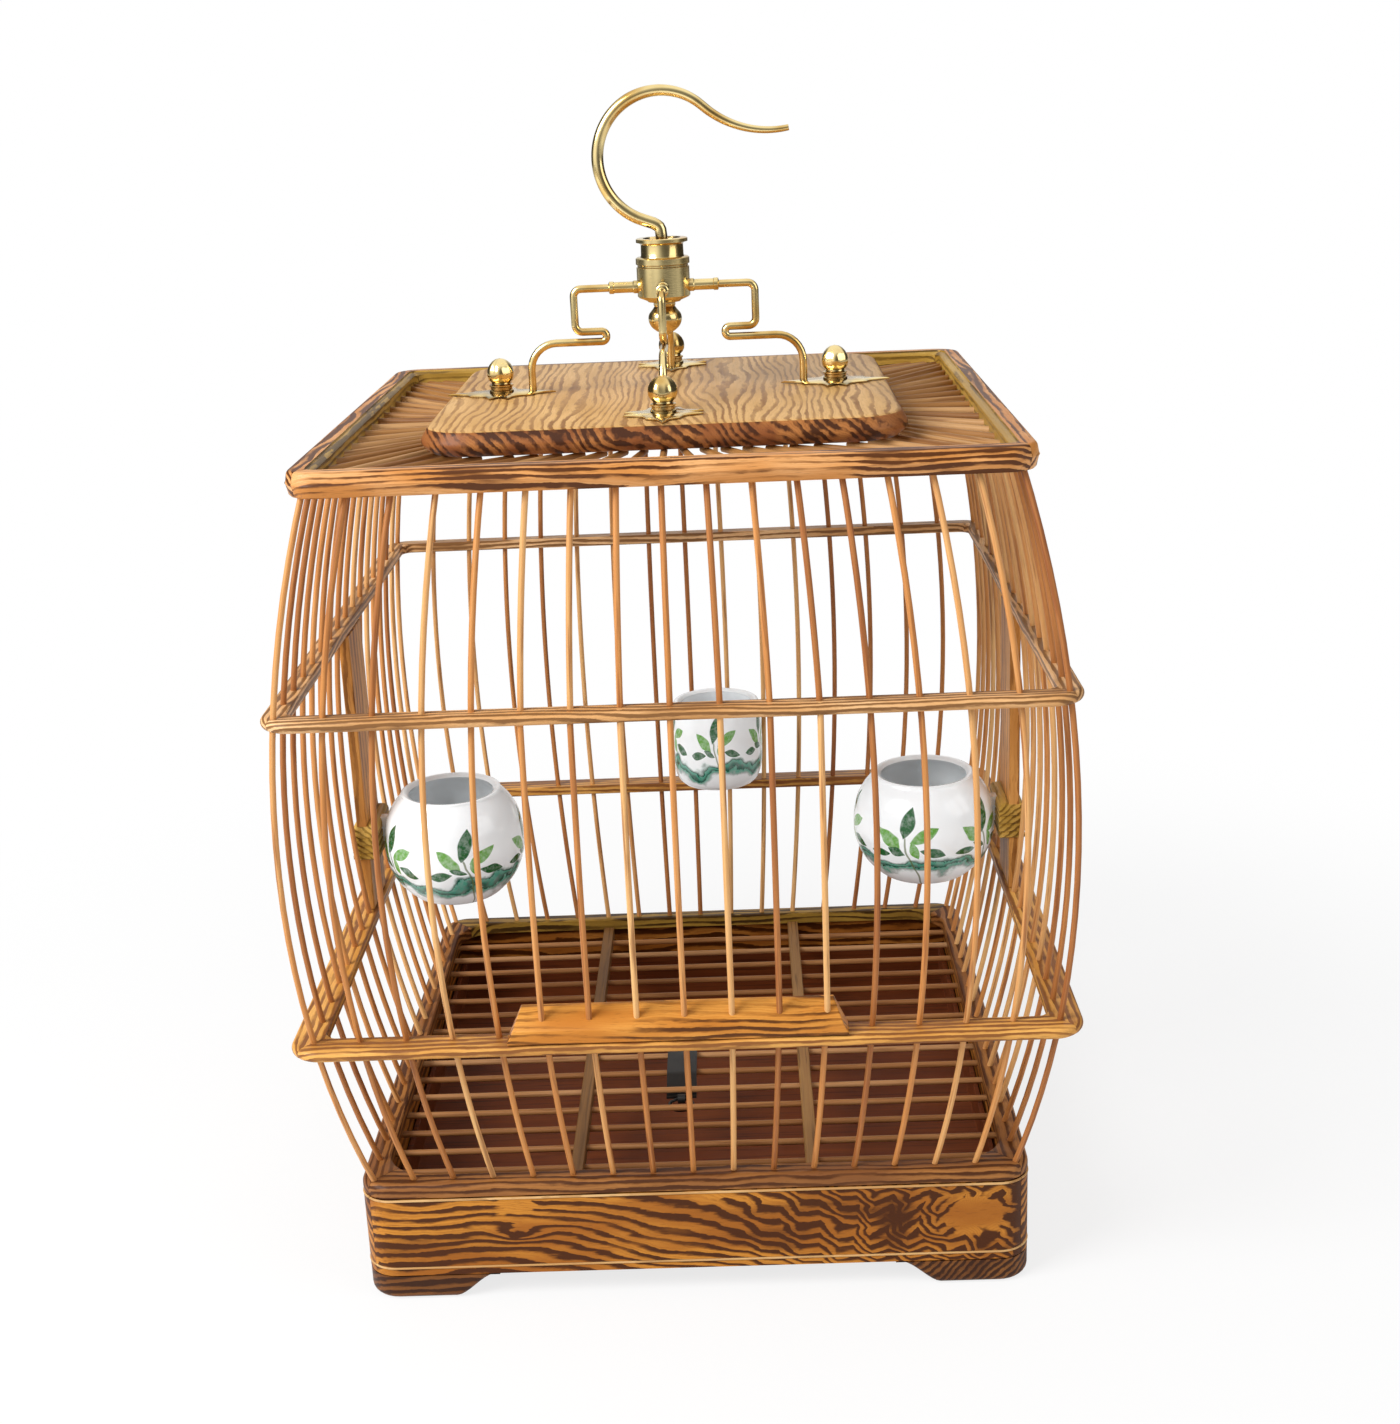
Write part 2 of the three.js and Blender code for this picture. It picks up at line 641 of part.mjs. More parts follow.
function buildRim() {
  const sockets = barCutters(PLACES, BAR_BOTTOM - SOCKET_END_GAP, RIM_TOP + RIM_HEIGHT);
  const parts = members(rimRing().subtract(sockets), BASE_HALF, BOARD_TOP, RIM_TOP);
  for (const [name, made] of Object.entries(parts)) addMesh(`base_rim_${name}`, geometryOf(made), "darkWood");
}

// Bars that pass through every level without being set in a rail
function buildFreeBars() {
  for (const [name, side] of [["front", SIDES.front], ["back", SIDES.back]]) {
    const hands = side === SIDES.front ? ["left", "right"] : ["right", "left"];
    addMesh(`corner_bar_${name}_${hands[0]}`, bar(side, 0), "bar");
    addMesh(`corner_bar_${name}_${hands[1]}`, bar(side, LAST_BAR), "bar");
  }
  for (let index = 1; index < FIRST_DOOR_BAR; index += 1) {
    addMesh(`front_bar_left_${index}`, bar(SIDES.front, index), "bar");
    addMesh(`front_bar_right_${index}`, bar(SIDES.front, LAST_BAR - index), "bar");
  }
}

// Lift door: a sill block and bars that follow the belly outside the fixed bars
function sillSection(bottom, top) {
  const line = -barReach(top, DOOR_OUTSET);
  return [
    [line - SILL_FRONT + DOOR_OUTSET + BAR_DIAMETER / 2, bottom], [line + SILL_BACK + DOOR_OUTSET, bottom],
    [line + SILL_BACK + DOOR_OUTSET, top], [line + SILL_BACK + DOOR_OUTSET - SILL_FLAT, top],
    [line - SILL_FRONT + DOOR_OUTSET + BAR_DIAMETER / 2, bottom + SILL_NOSE_HEIGHT],
  ];
}

function buildDoor() {
  const bottom = LOWER_RAIL_TOP + SEAT_GAP;
  const top = bottom + SILL_HEIGHT;
  const half = SILL_LENGTH / 2;
  const right = [
    [half, bottom - cutOverrun], [half, bottom], [half - SILL_NOSE_TAPER, bottom + SILL_NOSE_HEIGHT],
    [half - SILL_END_TAPER, top], [half - SILL_END_TAPER, top + cutOverrun],
  ];
  const left = right.map(([x, z]) => [-x, z]).reverse();
  const ends = extrudeAlongY([...right, ...left], 4 * BASE_HALF).translate(SILL_SHIFT, 0, 0);
  const block = extrudeAlongX(sillSection(bottom, top), SILL_LENGTH + cutOverrun).translate(SILL_SHIFT, 0, 0);
  const bars = DOOR_BAR_X.map((x) =>
    sweep(doorBarPoints(x, top - SILL_SOCKET, UPPER_RAIL_TOP, DOOR_BAR_STEPS), BAR_RADIUS, BAR_SIDES));
  addMesh("door", geometryOf(solid(block).intersect(solid(ends)).add(union(bars))), "wood");
}

// Base boards, feet and tray
function footRing() {
  const bottomHalf = BASE_HALF - FOOT_ROUND;
  const inside = BASE_HALF - FOOT_THICKNESS;
  const shoulder = BASE_HALF - FOOT_ROUND * (1 - Math.SQRT1_2);
  const top = FOOT_HEIGHT - SEAT_GAP;
  return solid(frameRing(BASE_CORNER, [
    [inside, 0], [bottomHalf, 0], [shoulder, FOOT_ROUND * (1 - Math.SQRT1_2)],
    [BASE_HALF, FOOT_ROUND], [BASE_HALF, top], [inside, top],
  ]));
}

function footArch() {
  const flatEnd = BASE_HALF - FOOT_FLAT;
  const right = footSweepShares.map(([run, rise]) => [flatEnd - run * FOOT_SWEEP, rise * FOOT_HEIGHT]);
  const edge = flatEnd - FOOT_SWEEP;
  right[0] = [flatEnd, -cutOverrun];
  right.splice(1, 0, [flatEnd, 0]);
  right.push([edge, FOOT_HEIGHT + cutOverrun]);
  const left = right.map(([x, z]) => [-x, z]).reverse();
  return [...right, ...left];
}

function buildFeet() {
  const arch = extrudeAlongY(footArch(), 4 * BASE_HALF);
  const cross = solid(arch).add(solid(onSide(arch, 1)));
  const feet = footRing().subtract(cross);
  const reach = 2 * BASE_HALF;
  for (const [across, x] of [["left", -1], ["right", 1]]) {
    for (const [along, y] of [["front", -1], ["back", 1]]) {
      const quadrant = box([Math.min(0, x * reach), Math.min(0, y * reach), -cutOverrun],
        [Math.max(0, x * reach), Math.max(0, y * reach), FOOT_HEIGHT + cutOverrun]);
      addMesh(`foot_${along}_${across}`, geometryOf(feet.intersect(solid(quadrant))), "darkWood");
    }
  }
}

function buildBase() {
  const parts = members(boardRing(), BASE_HALF + BEAD_PROUD, FOOT_HEIGHT, BOARD_TOP);
  const end = BOARD_INSIDE - RUNNER_WIDTH;
  const ledge = solid(box([-end, -BOARD_INSIDE - BOARD_THICKNESS / 2, FOOT_HEIGHT],
    [end, -BOARD_INSIDE + RUNNER_WIDTH, FOOT_HEIGHT + RUNNER_HEIGHT]));
  addMesh("base_board_front", geometryOf(parts.front), "wood");
  for (const name of ["left", "right"]) {
    const runner = solid(onSide(geometryOf(ledge), SIDES[name]));
    addMesh(`base_board_${name}`, geometryOf(parts[name].add(runner)), "wood");
  }
  const pinY = BASE_HALF + SEAT_GAP - KNOB_PIN_LENGTH;
  const pinRadius = KNOB_PIN_RADIUS + BAR_CLEARANCE;
  const knobLevel = FOOT_HEIGHT + BOARD_HEIGHT / 2;
  const hole = rod(new THREE.Vector3(0, pinY - SOCKET_END_GAP, knobLevel),
    new THREE.Vector3(0, BASE_HALF + cutOverrun, knobLevel), pinRadius, KNOB_STEPS);
  const clear = box([-2 * BASE_HALF, 0, 0], [2 * BASE_HALF, 2 * BASE_HALF, FOOT_HEIGHT + SEAT_GAP]);
  const face = parts.back.subtract(solid(clear)).subtract(solid(hole));
  addMesh("tray_face", geometryOf(face), "wood");
  const stem = [[0, -KNOB_PIN_LENGTH], [KNOB_PIN_RADIUS, -KNOB_PIN_LENGTH], [KNOB_PIN_RADIUS, 0]];
  const head = knobShares.map(([out, up]) => [out * KNOB_RADIUS, up * KNOB_LENGTH]);
  const profile = [...stem, ...head].map(([r, z]) => new THREE.Vector2(r, z));
  const knob = new THREE.LatheGeometry(profile, KNOB_STEPS).translate(0, BASE_HALF + SEAT_GAP, 0);
  addMesh("tray_knob", knob.translate(0, 0, knobLevel), "brass");
}

function buildTray() {
  const half = BOARD_INSIDE - TRAY_SIDE_GAP;
  const bottom = FOOT_HEIGHT + RUNNER_HEIGHT + SEAT_GAP;
  const outer = box([-half, -half, bottom], [half, BOARD_INSIDE - SEAT_GAP, bottom + TRAY_HEIGHT]);
  const inner = box([-half + TRAY_WALL, -half + TRAY_WALL, bottom + TRAY_WALL],
    [half - TRAY_WALL, BOARD_INSIDE - SEAT_GAP - TRAY_WALL, bottom + TRAY_HEIGHT + cutOverrun]);
  addMesh("tray_pan", geometryOf(solid(outer).subtract(solid(inner))), "tray");
}

function rodRows() {
  const pitch = (2 * BOARD_INSIDE) / (GRILLE_RODS + 1);
  return Array.from({ length: GRILLE_RODS }, (_, row) => -BOARD_INSIDE + pitch * (row + 1));
}

// The grille's rods are threaded through two ribs on edge
function buildGrille() {
  const end = BOARD_INSIDE - ROD_END_GAP;
  const rods = rodRows().map((y) =>
    rod(new THREE.Vector3(-end, y, ROD_LEVEL), new THREE.Vector3(end, y, ROD_LEVEL), ROD_RADIUS, ROD_SIDES));
  const ribHalf = barReach(RIM_TOP) - RIM_INSIDE - SEAT_GAP;
  const ribs = [-1, 1].map((sign) => box(
    [sign * RIB_REACH - RIB_THICKNESS / 2, -ribHalf, ROD_LEVEL - RIB_HEIGHT / 2],
    [sign * RIB_REACH + RIB_THICKNESS / 2, ribHalf, ROD_LEVEL + RIB_HEIGHT / 2]));
  addMesh("floor_grille", geometryOf(union([...ribs, ...rods])), "slat");
}

// Roof
function buildRoof() {
  const levels = roofEdgeShares.map(([rise, out]) => {
    const reach = ROOF_HALF + (out > 0 ? out * ROOF_EDGE_PROUD : out * ROOF_EDGE_INSET);
    return [reach, reach, ROOF_CORNER, ROOF_BOTTOM + rise * ROOF_THICKNESS];
  });
  let board = solid(stack(levels, CORNER_STEPS));
  for (const side of Object.values(SIDES)) {
    for (const [reach, radius] of [[HANGER_REACH, FINIAL_PIN_RADIUS], [LEG_FOOT_REACH, LEG_RADIUS]]) {
      const from = new THREE.Vector3(0, -reach, ROOF_BOTTOM - cutOverrun);
      const to = new THREE.Vector3(0, -reach, ROOF_TOP + cutOverrun);
      board = board.subtract(solid(onSide(rod(from, to, radius + LEG_CLEARANCE, HOOK_SIDES), side)));
    }
  }
  addMesh("roof_board", geometryOf(board), "roofWood");
}

// Slats of the front: from inside the frame's member to under the edge of the board
function slatRods() {
  const frame = barReach(TOP_FRAME_LEVEL) - TOP_INSIDE + SLAT_RADIUS;
  const level = ROOF_BOTTOM - SEAT_GAP - SLAT_RADIUS;
  const [frameSpread, boardSpread] = slatSpreadShares;
  return Array.from({ length: SLATS_PER_SIDE }, (_, index) => {
    const place = (2 * index) / (SLATS_PER_SIDE - 1) - 1;
    const from = new THREE.Vector3(place * frameSpread * barReach(TOP_FRAME_LEVEL), -frame, level);
    const edge = new THREE.Vector3(place * boardSpread * ROOF_HALF, -ROOF_HALF, level);
    const to = from.clone().lerp(edge, 1 + SLAT_LAP / from.distanceTo(edge));
    return rod(from, to, SLAT_RADIUS, SLAT_SIDES);
  });
}

// Hanger: plates and finials on the board, bent legs to the hub, a hook that swivels in it
function plateShape() {
  const [waistX, waistY] = plateWaistShares;
  const length = PLATE_LENGTH / 2;
  const width = PLATE_WIDTH / 2;
  const shape = new THREE.Shape();
  shape.moveTo(length, 0);
  shape.quadraticCurveTo(waistX * length, waistY * width, 0, width);
  shape.quadraticCurveTo(-waistX * length, waistY * width, -length, 0);
  shape.quadraticCurveTo(-waistX * length, -waistY * width, 0, -width);
  shape.quadraticCurveTo(waistX * length, -waistY * width, length, 0);
  const along = LEG_FOOT_REACH - HANGER_REACH;
  const hole = sectionShape(LEG_RADIUS + LEG_CLEARANCE, HOOK_SIDES).getPoints();
  shape.holes.push(new THREE.Path(hole.map((p) => new THREE.Vector2(p.x + along, p.y))));
  return shape;
}

// A finial is a ball on a drum, with a pin through its plate and the board
function finialProfile() {
  const ballCentre = FINIAL_HEIGHT - FINIAL_BALL_RADIUS;
  const pinEnd = -(ROOF_THICKNESS + PLATE_THICKNESS + SEAT_GAP + FINIAL_PIN_RADIUS / 2);
  const points = [[0, pinEnd], [FINIAL_PIN_RADIUS, pinEnd], [FINIAL_PIN_RADIUS, -PLATE_THICKNESS / 2]];
  points.push([FINIAL_COLLAR_RADIUS, -PLATE_THICKNESS / 2], [FINIAL_COLLAR_RADIUS, FINIAL_COLLAR_HEIGHT]);
  for (const share of finialTurnShares) {
    const around = direction(share * quarter).multiplyScalar(FINIAL_BALL_RADIUS);
    points.push([around.x, ballCentre + around.y]);
  }
  points.push([0, FINIAL_HEIGHT]);
  return points.map(([r, z]) => new THREE.Vector2(r, z));
}

// LatheGeometry turns about Y, so it is stood up onto Z here
function lathe(points, steps) {
  return new THREE.LatheGeometry(points, steps).rotateX(quarter);
}

function legPoints() {
  const shoulder = ROOF_TOP + LEG_SHOULDER_RISE;
  const corners = [
    [ARM_REACH - ARM_SOCKET, HUB_LEVEL, 0], [LEG_DROP_REACH, HUB_LEVEL, LEG_BEND],
    [LEG_DROP_REACH, shoulder + LEG_LOOP_GAP, LEG_BEND],
    [LEG_LOOP_REACH, shoulder + LEG_LOOP_GAP, LEG_LOOP_BEND],
    [LEG_LOOP_REACH, shoulder, LEG_LOOP_BEND],
    [LEG_FOOT_REACH, shoulder, LEG_SHOULDER_BEND],
    [LEG_FOOT_REACH, ROOF_BOTTOM - LEG_END_DROP, 0],
  ];
  return bentPath(corners, LEG_BEND_STEPS).map((p) => new THREE.Vector3(0, -p.x, p.y));
}

function buildLegs() {
  const leg = sweep(legPoints(), LEG_RADIUS, LEG_SIDES);
  const plate = new THREE.ExtrudeGeometry(plateShape(),
    { depth: PLATE_THICKNESS, bevelEnabled: false, curveSegments: 4 });
  plate.rotateZ(-quarter).translate(0, -HANGER_REACH, ROOF_TOP + SEAT_GAP);
  const finial = lathe(finialProfile(), FINIAL_STEPS);
  finial.translate(0, -HANGER_REACH, ROOF_TOP + PLATE_THICKNESS + SEAT_GAP);
  const foot = geometryOf(union([plate, finial]));
  for (const [name, side] of Object.entries(SIDES)) {
    addMesh(`hanger_leg_${name}`, onSide(leg, side), "brass");
    addMesh(`finial_${name}`, onSide(foot, side), "brass");
  }
}

function buildHub() {
  const bore = SHANK_RADIUS + SHANK_CLEARANCE;
  const barrelBottom = HUB_LEVEL - HUB_BARREL_BELOW;
  const barrelTop = HUB_LEVEL + HUB_BARREL_ABOVE;
  const neckTop = barrelTop + HUB_NECK_HEIGHT;
  const profile = [
    [bore, barrelBottom - HUB_TAPER], [HUB_LIP_RADIUS, barrelBottom - HUB_TAPER], [HUB_RADIUS, barrelBottom],
    [HUB_RADIUS, barrelTop], [HUB_NECK_RADIUS, barrelTop], [HUB_NECK_RADIUS, neckTop],
    [HUB_FLANGE_RADIUS, neckTop], [HUB_FLANGE_RADIUS, neckTop + HUB_FLANGE_HEIGHT],
    [bore, neckTop + HUB_FLANGE_HEIGHT], [bore, barrelBottom - HUB_TAPER],
  ].map(([r, z]) => new THREE.Vector2(r, z));
  let hub = solid(lathe(profile, HUB_STEPS));
  const armRoot = (HUB_RADIUS + bore) / 2;
  for (const side of Object.values(SIDES)) {
    const arm = new THREE.CylinderGeometry(ARM_RADIUS, ARM_TIP_RADIUS, ARM_REACH - armRoot, FINIAL_STEPS);
    arm.translate(0, -(ARM_REACH + armRoot) / 2, HUB_LEVEL);
    const from = new THREE.Vector3(0, -(ARM_REACH - ARM_SOCKET - SOCKET_END_GAP), HUB_LEVEL);
    const to = new THREE.Vector3(0, -(ARM_REACH + cutOverrun), HUB_LEVEL);
    const socket = rod(from, to, LEG_RADIUS + LEG_CLEARANCE, HOOK_SIDES);
    hub = hub.add(solid(onSide(arm, side))).subtract(solid(onSide(socket, side)));
  }
  addMesh("hub", geometryOf(hub), "brass");
}

function buildNut() {
  const bore = SHANK_RADIUS + SHANK_CLEARANCE;
  const top = HUB_LEVEL - HUB_BARREL_BELOW - HUB_TAPER - SEAT_GAP;
  const centre = top - NUT_LENGTH + NUT_RADIUS;
  const points = [[0, top - NUT_LENGTH]];
  for (const share of nutTurnShares) {
    const around = direction(share * quarter).multiplyScalar(NUT_RADIUS);
    points.push([around.x, centre + around.y]);
  }
  points.push([NUT_NECK_RADIUS, top - SHANK_RADIUS / 2], [NUT_NECK_RADIUS, top], [bore, top]);
  points.push([bore, top - NUT_LENGTH + NUT_RADIUS / 2], [0, top - NUT_LENGTH + NUT_RADIUS / 2]);
  const profile = points.map(([r, z]) => new THREE.Vector2(r, z));
  addMesh("hub_nut", lathe(profile, HUB_STEPS), "brass");
}

function arcPoints(centre, radius, from, to, steps) {
  return Array.from({ length: steps + 1 }, (_, step) => {
    const angle = from + ((to - from) * step) / steps;
    return new THREE.Vector3(centre.x + radius * Math.cos(angle), 0, centre.y + radius * Math.sin(angle));
  });
}

// The hook: a shank in the hub, a wide loop to the left and over, and a tip that turns up
function hookPoints() {
  const hubTop = HUB_LEVEL + HUB_BARREL_ABOVE + HUB_NECK_HEIGHT + HUB_FLANGE_HEIGHT;
  const nutTop = HUB_LEVEL - HUB_BARREL_BELOW - HUB_TAPER - SEAT_GAP;
  const shankBottom = nutTop - NUT_LENGTH + NUT_RADIUS / 2 + SEAT_GAP;
  const centre = new THREE.Vector2(HOOK_CENTRE_OUT, hubTop + HOOK_RISE);
  const outward = new THREE.Vector2(Math.cos(HOOK_END_TURN), Math.sin(HOOK_END_TURN));
  const tipCentre = centre.clone().addScaledVector(outward, HOOK_RADIUS + HOOK_TIP_RADIUS);
  const tipStart = HOOK_END_TURN + 2 * quarter;
  const [rootOut, rootRise] = hookRootShares;
  return [
    new THREE.Vector3(0, 0, shankBottom), new THREE.Vector3(0, 0, hubTop + HOOK_BEND / 2),
    new THREE.Vector3(HOOK_BEND * rootOut, 0, hubTop + HOOK_BEND * rootRise),
    ...arcPoints(centre, HOOK_RADIUS, HOOK_START_TURN, HOOK_END_TURN, HOOK_LOOP_STEPS),
    ...arcPoints(tipCentre, HOOK_TIP_RADIUS, tipStart, tipStart + HOOK_TIP_TURN, HOOK_TIP_STEPS).slice(1),
  ];
}

function buildHook() {
  const points = hookPoints();
  const geometry = sweep(points, SHANK_RADIUS, HOOK_SIDES);
  const position = geometry.attributes.position;
  const vertex = new THREE.Vector3();
  for (let index = 0; index < position.count; index += 1) {
    vertex.fromBufferAttribute(position, index);
    let nearest = 0;
    points.forEach((p, place) => {
      if (p.distanceTo(vertex) < points[nearest].distanceTo(vertex)) nearest = place;
    });
    const along = nearest / (points.length - 1);
    const size = 1 - (1 - HOOK_TIP_SHARE) * Math.max(0, 2 * along - 1);
    vertex.sub(points[nearest]).multiplyScalar(size).add(points[nearest]);
    position.setXYZ(index, vertex.x, vertex.y, vertex.z);
  }
  addMesh("hook", geometry, "brass");
}

// Cups hang by an ear in a slot of a grooved block
const BLOCK_LINE = barReach(BLOCK_LEVEL + BLOCK_HEIGHT / 2);
const BLOCK_FACE = BLOCK_LINE - BLOCK_INSIDE;
const BLOCK_BAR_PITCH = (2 * BLOCK_LINE) / (BARS_PER_SIDE - 1);
const BLOCK_LENGTH = BLOCK_BAR_PITCH * blockPitchesShare;
const BACK_CUP_SHIFT = BLOCK_BAR_PITCH * backCupPitchShare;
const SLOT_FLOOR = BLOCK_LEVEL + BLOCK_HEIGHT - EAR_HEIGHT - SEAT_GAP - EAR_LIP;
const SLOT_BACK = BLOCK_FACE + EAR_LIP + EAR_HEAD_THICKNESS + 2 * EAR_CLEARANCE;

function cupProfile(radius, height, mouth, shares) {
  const outer = shares.map(([out, up]) => [out * radius, up * height]);
  const lip = height * cupLipShares.rise;
  outer.push([mouth, lip], [mouth - CUP_WALL * cupLipShares.round, height], [mouth - CUP_WALL, lip]);
  const inner = shares.slice(2).map(([out, up]) => [out * radius - CUP_WALL, up * height]).reverse();
  const floor = [shares[0][0] * radius, CUP_WALL * cupFloorShares.edge];
  const points = [[0, 0], ...outer, ...inner, floor, [0, CUP_WALL * cupFloorShares.middle]];
  return points.map(([r, z]) => new THREE.Vector2(r, z));
}

// The ear is made for a cup at the front: its head points to -Y
function earSolid(cupCentre, radius) {
  const bottom = SLOT_FLOOR + SEAT_GAP;
  const headInside = BLOCK_FACE + EAR_LIP + EAR_CLEARANCE;
  const neck = box([-EAR_NECK_WIDTH / 2, -headInside - EAR_HEAD_THICKNESS / 2, bottom],
    [EAR_NECK_WIDTH / 2, -(cupCentre + radius - CUP_WALL * earRootShare), bottom + EAR_HEIGHT]);
  const head = box([-EAR_HEAD_WIDTH / 2, -headInside - EAR_HEAD_THICKNESS, bottom],
    [EAR_HEAD_WIDTH / 2, -headInside, bottom + EAR_HEIGHT]);
  return solid(neck).add(solid(head));
}

function slotCutter() {
  const top = BLOCK_LEVEL + BLOCK_HEIGHT + cutOverrun;
  const headInside = BLOCK_FACE + EAR_LIP;
  const neckHalf = EAR_NECK_WIDTH / 2 + EAR_CLEARANCE;
  const headHalf = EAR_HEAD_WIDTH / 2 + EAR_CLEARANCE;
  const neck = box([-neckHalf, -headInside - EAR_CLEARANCE, SLOT_FLOOR],
    [neckHalf, -BLOCK_FACE + cutOverrun, top]);
  const head = box([-headHalf, -SLOT_BACK, SLOT_FLOOR], [headHalf, -headInside, top]);
  return solid(neck).add(solid(head));
}

function blockSolid() {
  const outside = BLOCK_LINE + BLOCK_OUTSIDE;
  const halfX = BLOCK_LENGTH / 2;
  const halfY = (outside - BLOCK_FACE) / 2;
  const levels = [[0, BLOCK_LEVEL]];
  for (let groove = 0; groove < BLOCK_GROOVES; groove += 1) {
    const level = BLOCK_LEVEL + GROOVE_PITCH * (groove + grooveStartShare);
    levels.push([0, level], [GROOVE_DEPTH, level + GROOVE_WIDTH / 3]);
    levels.push([GROOVE_DEPTH, level + (GROOVE_WIDTH * 2) / 3], [0, level + GROOVE_WIDTH]);
  }
  levels.push([0, BLOCK_LEVEL + BLOCK_HEIGHT]);
  const loops = levels.map(([inset, level]) => {
    const [x, y] = [halfX - inset, halfY - inset];
    return [[x, y], [-x, y], [-x, -y], [x, -y]].map(([a, b]) => new THREE.Vector3(a, b, level));
  });
  return solid(meshFromLoops(loops, false).translate(0, -(outside + BLOCK_FACE) / 2, 0));
}

// The post stands between the rails where the side's middle bar is left out, clear of the ear
// as the cup is lifted
function postSolid() {
  const half = BLOCK_LENGTH / 2;
  const inside = SLOT_BACK + SEAT_GAP;
  return solid(box([-half, -inside - POST_THICKNESS, LOWER_RAIL_TOP + SEAT_GAP],
    [half, -inside, UPPER_RAIL_BOTTOM - SEAT_GAP]));
}

function buildCups() {
  const block = blockSolid();
  const bracket = block.add(postSolid()).subtract(slotCutter());
  addMesh("cup_bracket_left", onSide(geometryOf(bracket), SIDES.left), "wood");
  addMesh("cup_bracket_right", onSide(geometryOf(bracket), SIDES.right), "wood");
  const centre = BLOCK_FACE - CUP_BLOCK_GAP - CUP_RADIUS;
  const cup = lathe(cupProfile(CUP_RADIUS, CUP_HEIGHT, CUP_MOUTH_RADIUS, cupShares), CUP_STEPS);
  cup.translate(0, -centre, BLOCK_LEVEL - CUP_DROP);
  const eared = geometryOf(solid(cup).add(earSolid(centre, CUP_RADIUS)));
  addMesh("cup_left", onSide(eared, SIDES.left), "porcelain");
  addMesh("cup_right", onSide(eared, SIDES.right), "porcelain");
  buildBackCup(block);
}

// The back cup's block is threaded on two neighbouring bars
function buildBackCup(block) {
  const radius = BAR_RADIUS + BAR_CLEARANCE;
  const threaded = [MIDDLE_BAR, MIDDLE_BAR - 1];
  const holes = threaded.map((index) => bar(SIDES.back, index, BAR_BOTTOM, BAR_TOP, radius));
  const placed = geometryOf(block.subtract(slotCutter())).translate(-BACK_CUP_SHIFT, 0, 0);
  const turned = solid(onSide(placed, SIDES.back));
  addMesh("cup_block_back", geometryOf(turned.subtract(union(holes))), "wood");
  const centre = BLOCK_FACE - CUP_BLOCK_GAP - BACK_CUP_RADIUS;
  const profile = cupProfile(BACK_CUP_RADIUS, BACK_CUP_HEIGHT, BACK_CUP_MOUTH_RADIUS, backCupShares);
  const cup = lathe(profile, CUP_STEPS).translate(0, -centre, BLOCK_LEVEL - BACK_CUP_DROP);
  const eared = geometryOf(solid(cup).add(earSolid(centre, BACK_CUP_RADIUS)));
  addMesh("cup_back", onSide(eared.translate(-BACK_CUP_SHIFT, 0, 0), SIDES.back), "porcelain");
}

// A steel strap lies over two rods and dips under a third, where its end curls round a ring
function buildClip() {
  const [front, high, back] = rodRows().filter((y) => y < -ROD_DIAMETER).slice(-CLIP_RODS);
  const above = ROD_LEVEL + ROD_RADIUS + SEAT_GAP;
  const below = ROD_LEVEL - ROD_RADIUS - SEAT_GAP - CLIP_THICKNESS;
  const strap = extrudeAlongX([
    [front - CLIP_CURL_PAST, below], [front + CLIP_OVERHANG, below], [high - CLIP_OVERHANG, above],
    [back + CLIP_OVERHANG, above], [back + CLIP_OVERHANG, above + CLIP_THICKNESS],
    [high - CLIP_OVERHANG, above + CLIP_THICKNESS], [front + CLIP_OVERHANG, below + CLIP_THICKNESS],
    [front - CLIP_CURL_PAST, below + CLIP_THICKNESS],
  ], CLIP_WIDTH).translate(CLIP_X, 0, 0);
  const bore = RING_WIRE_RADIUS + RING_CLEARANCE;
  const curl = bore + CLIP_THICKNESS;
  const eye = new THREE.Vector3(CLIP_X, front - CLIP_CURL_PAST - bore, below + CLIP_THICKNESS / 2);
  const half = new THREE.Vector3(CLIP_CURL_WIDTH / 2, 0, 0);
  const tube = solid(rod(eye.clone().sub(half), eye.clone().add(half), curl, CURL_STEPS));
  const past = half.clone().multiplyScalar(2);
  const hole = rod(eye.clone().sub(past), eye.clone().add(past), bore, CURL_STEPS);
  addMesh("grille_clip", geometryOf(solid(strap).add(tube).subtract(solid(hole))), "steel");
  const ring = new THREE.TorusGeometry(RING_RADIUS, RING_WIRE_RADIUS, RING_SIDES, RING_STEPS);
  addMesh("clip_ring", ring.translate(CLIP_X, eye.y - RING_RADIUS, eye.z), "steel");
}

buildTopFrame();
buildRim();
buildUpperRail();
buildLowerRail();
buildFreeBars();
buildDoor();
buildFeet();
buildBase();
buildTray();
buildGrille();
buildRoof();
buildLegs();
buildHub();
buildNut();
buildHook();
buildCups();
buildClip();

export default root;
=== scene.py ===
"""Looks of the square wooden birdcage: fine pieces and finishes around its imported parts."""

import logging
import math
import random
from dataclasses import dataclass, replace
from enum import Enum, IntEnum
from typing import Any, Callable, Sequence

import bmesh
import bpy
import numpy as np
from mathutils import Matrix, Vector


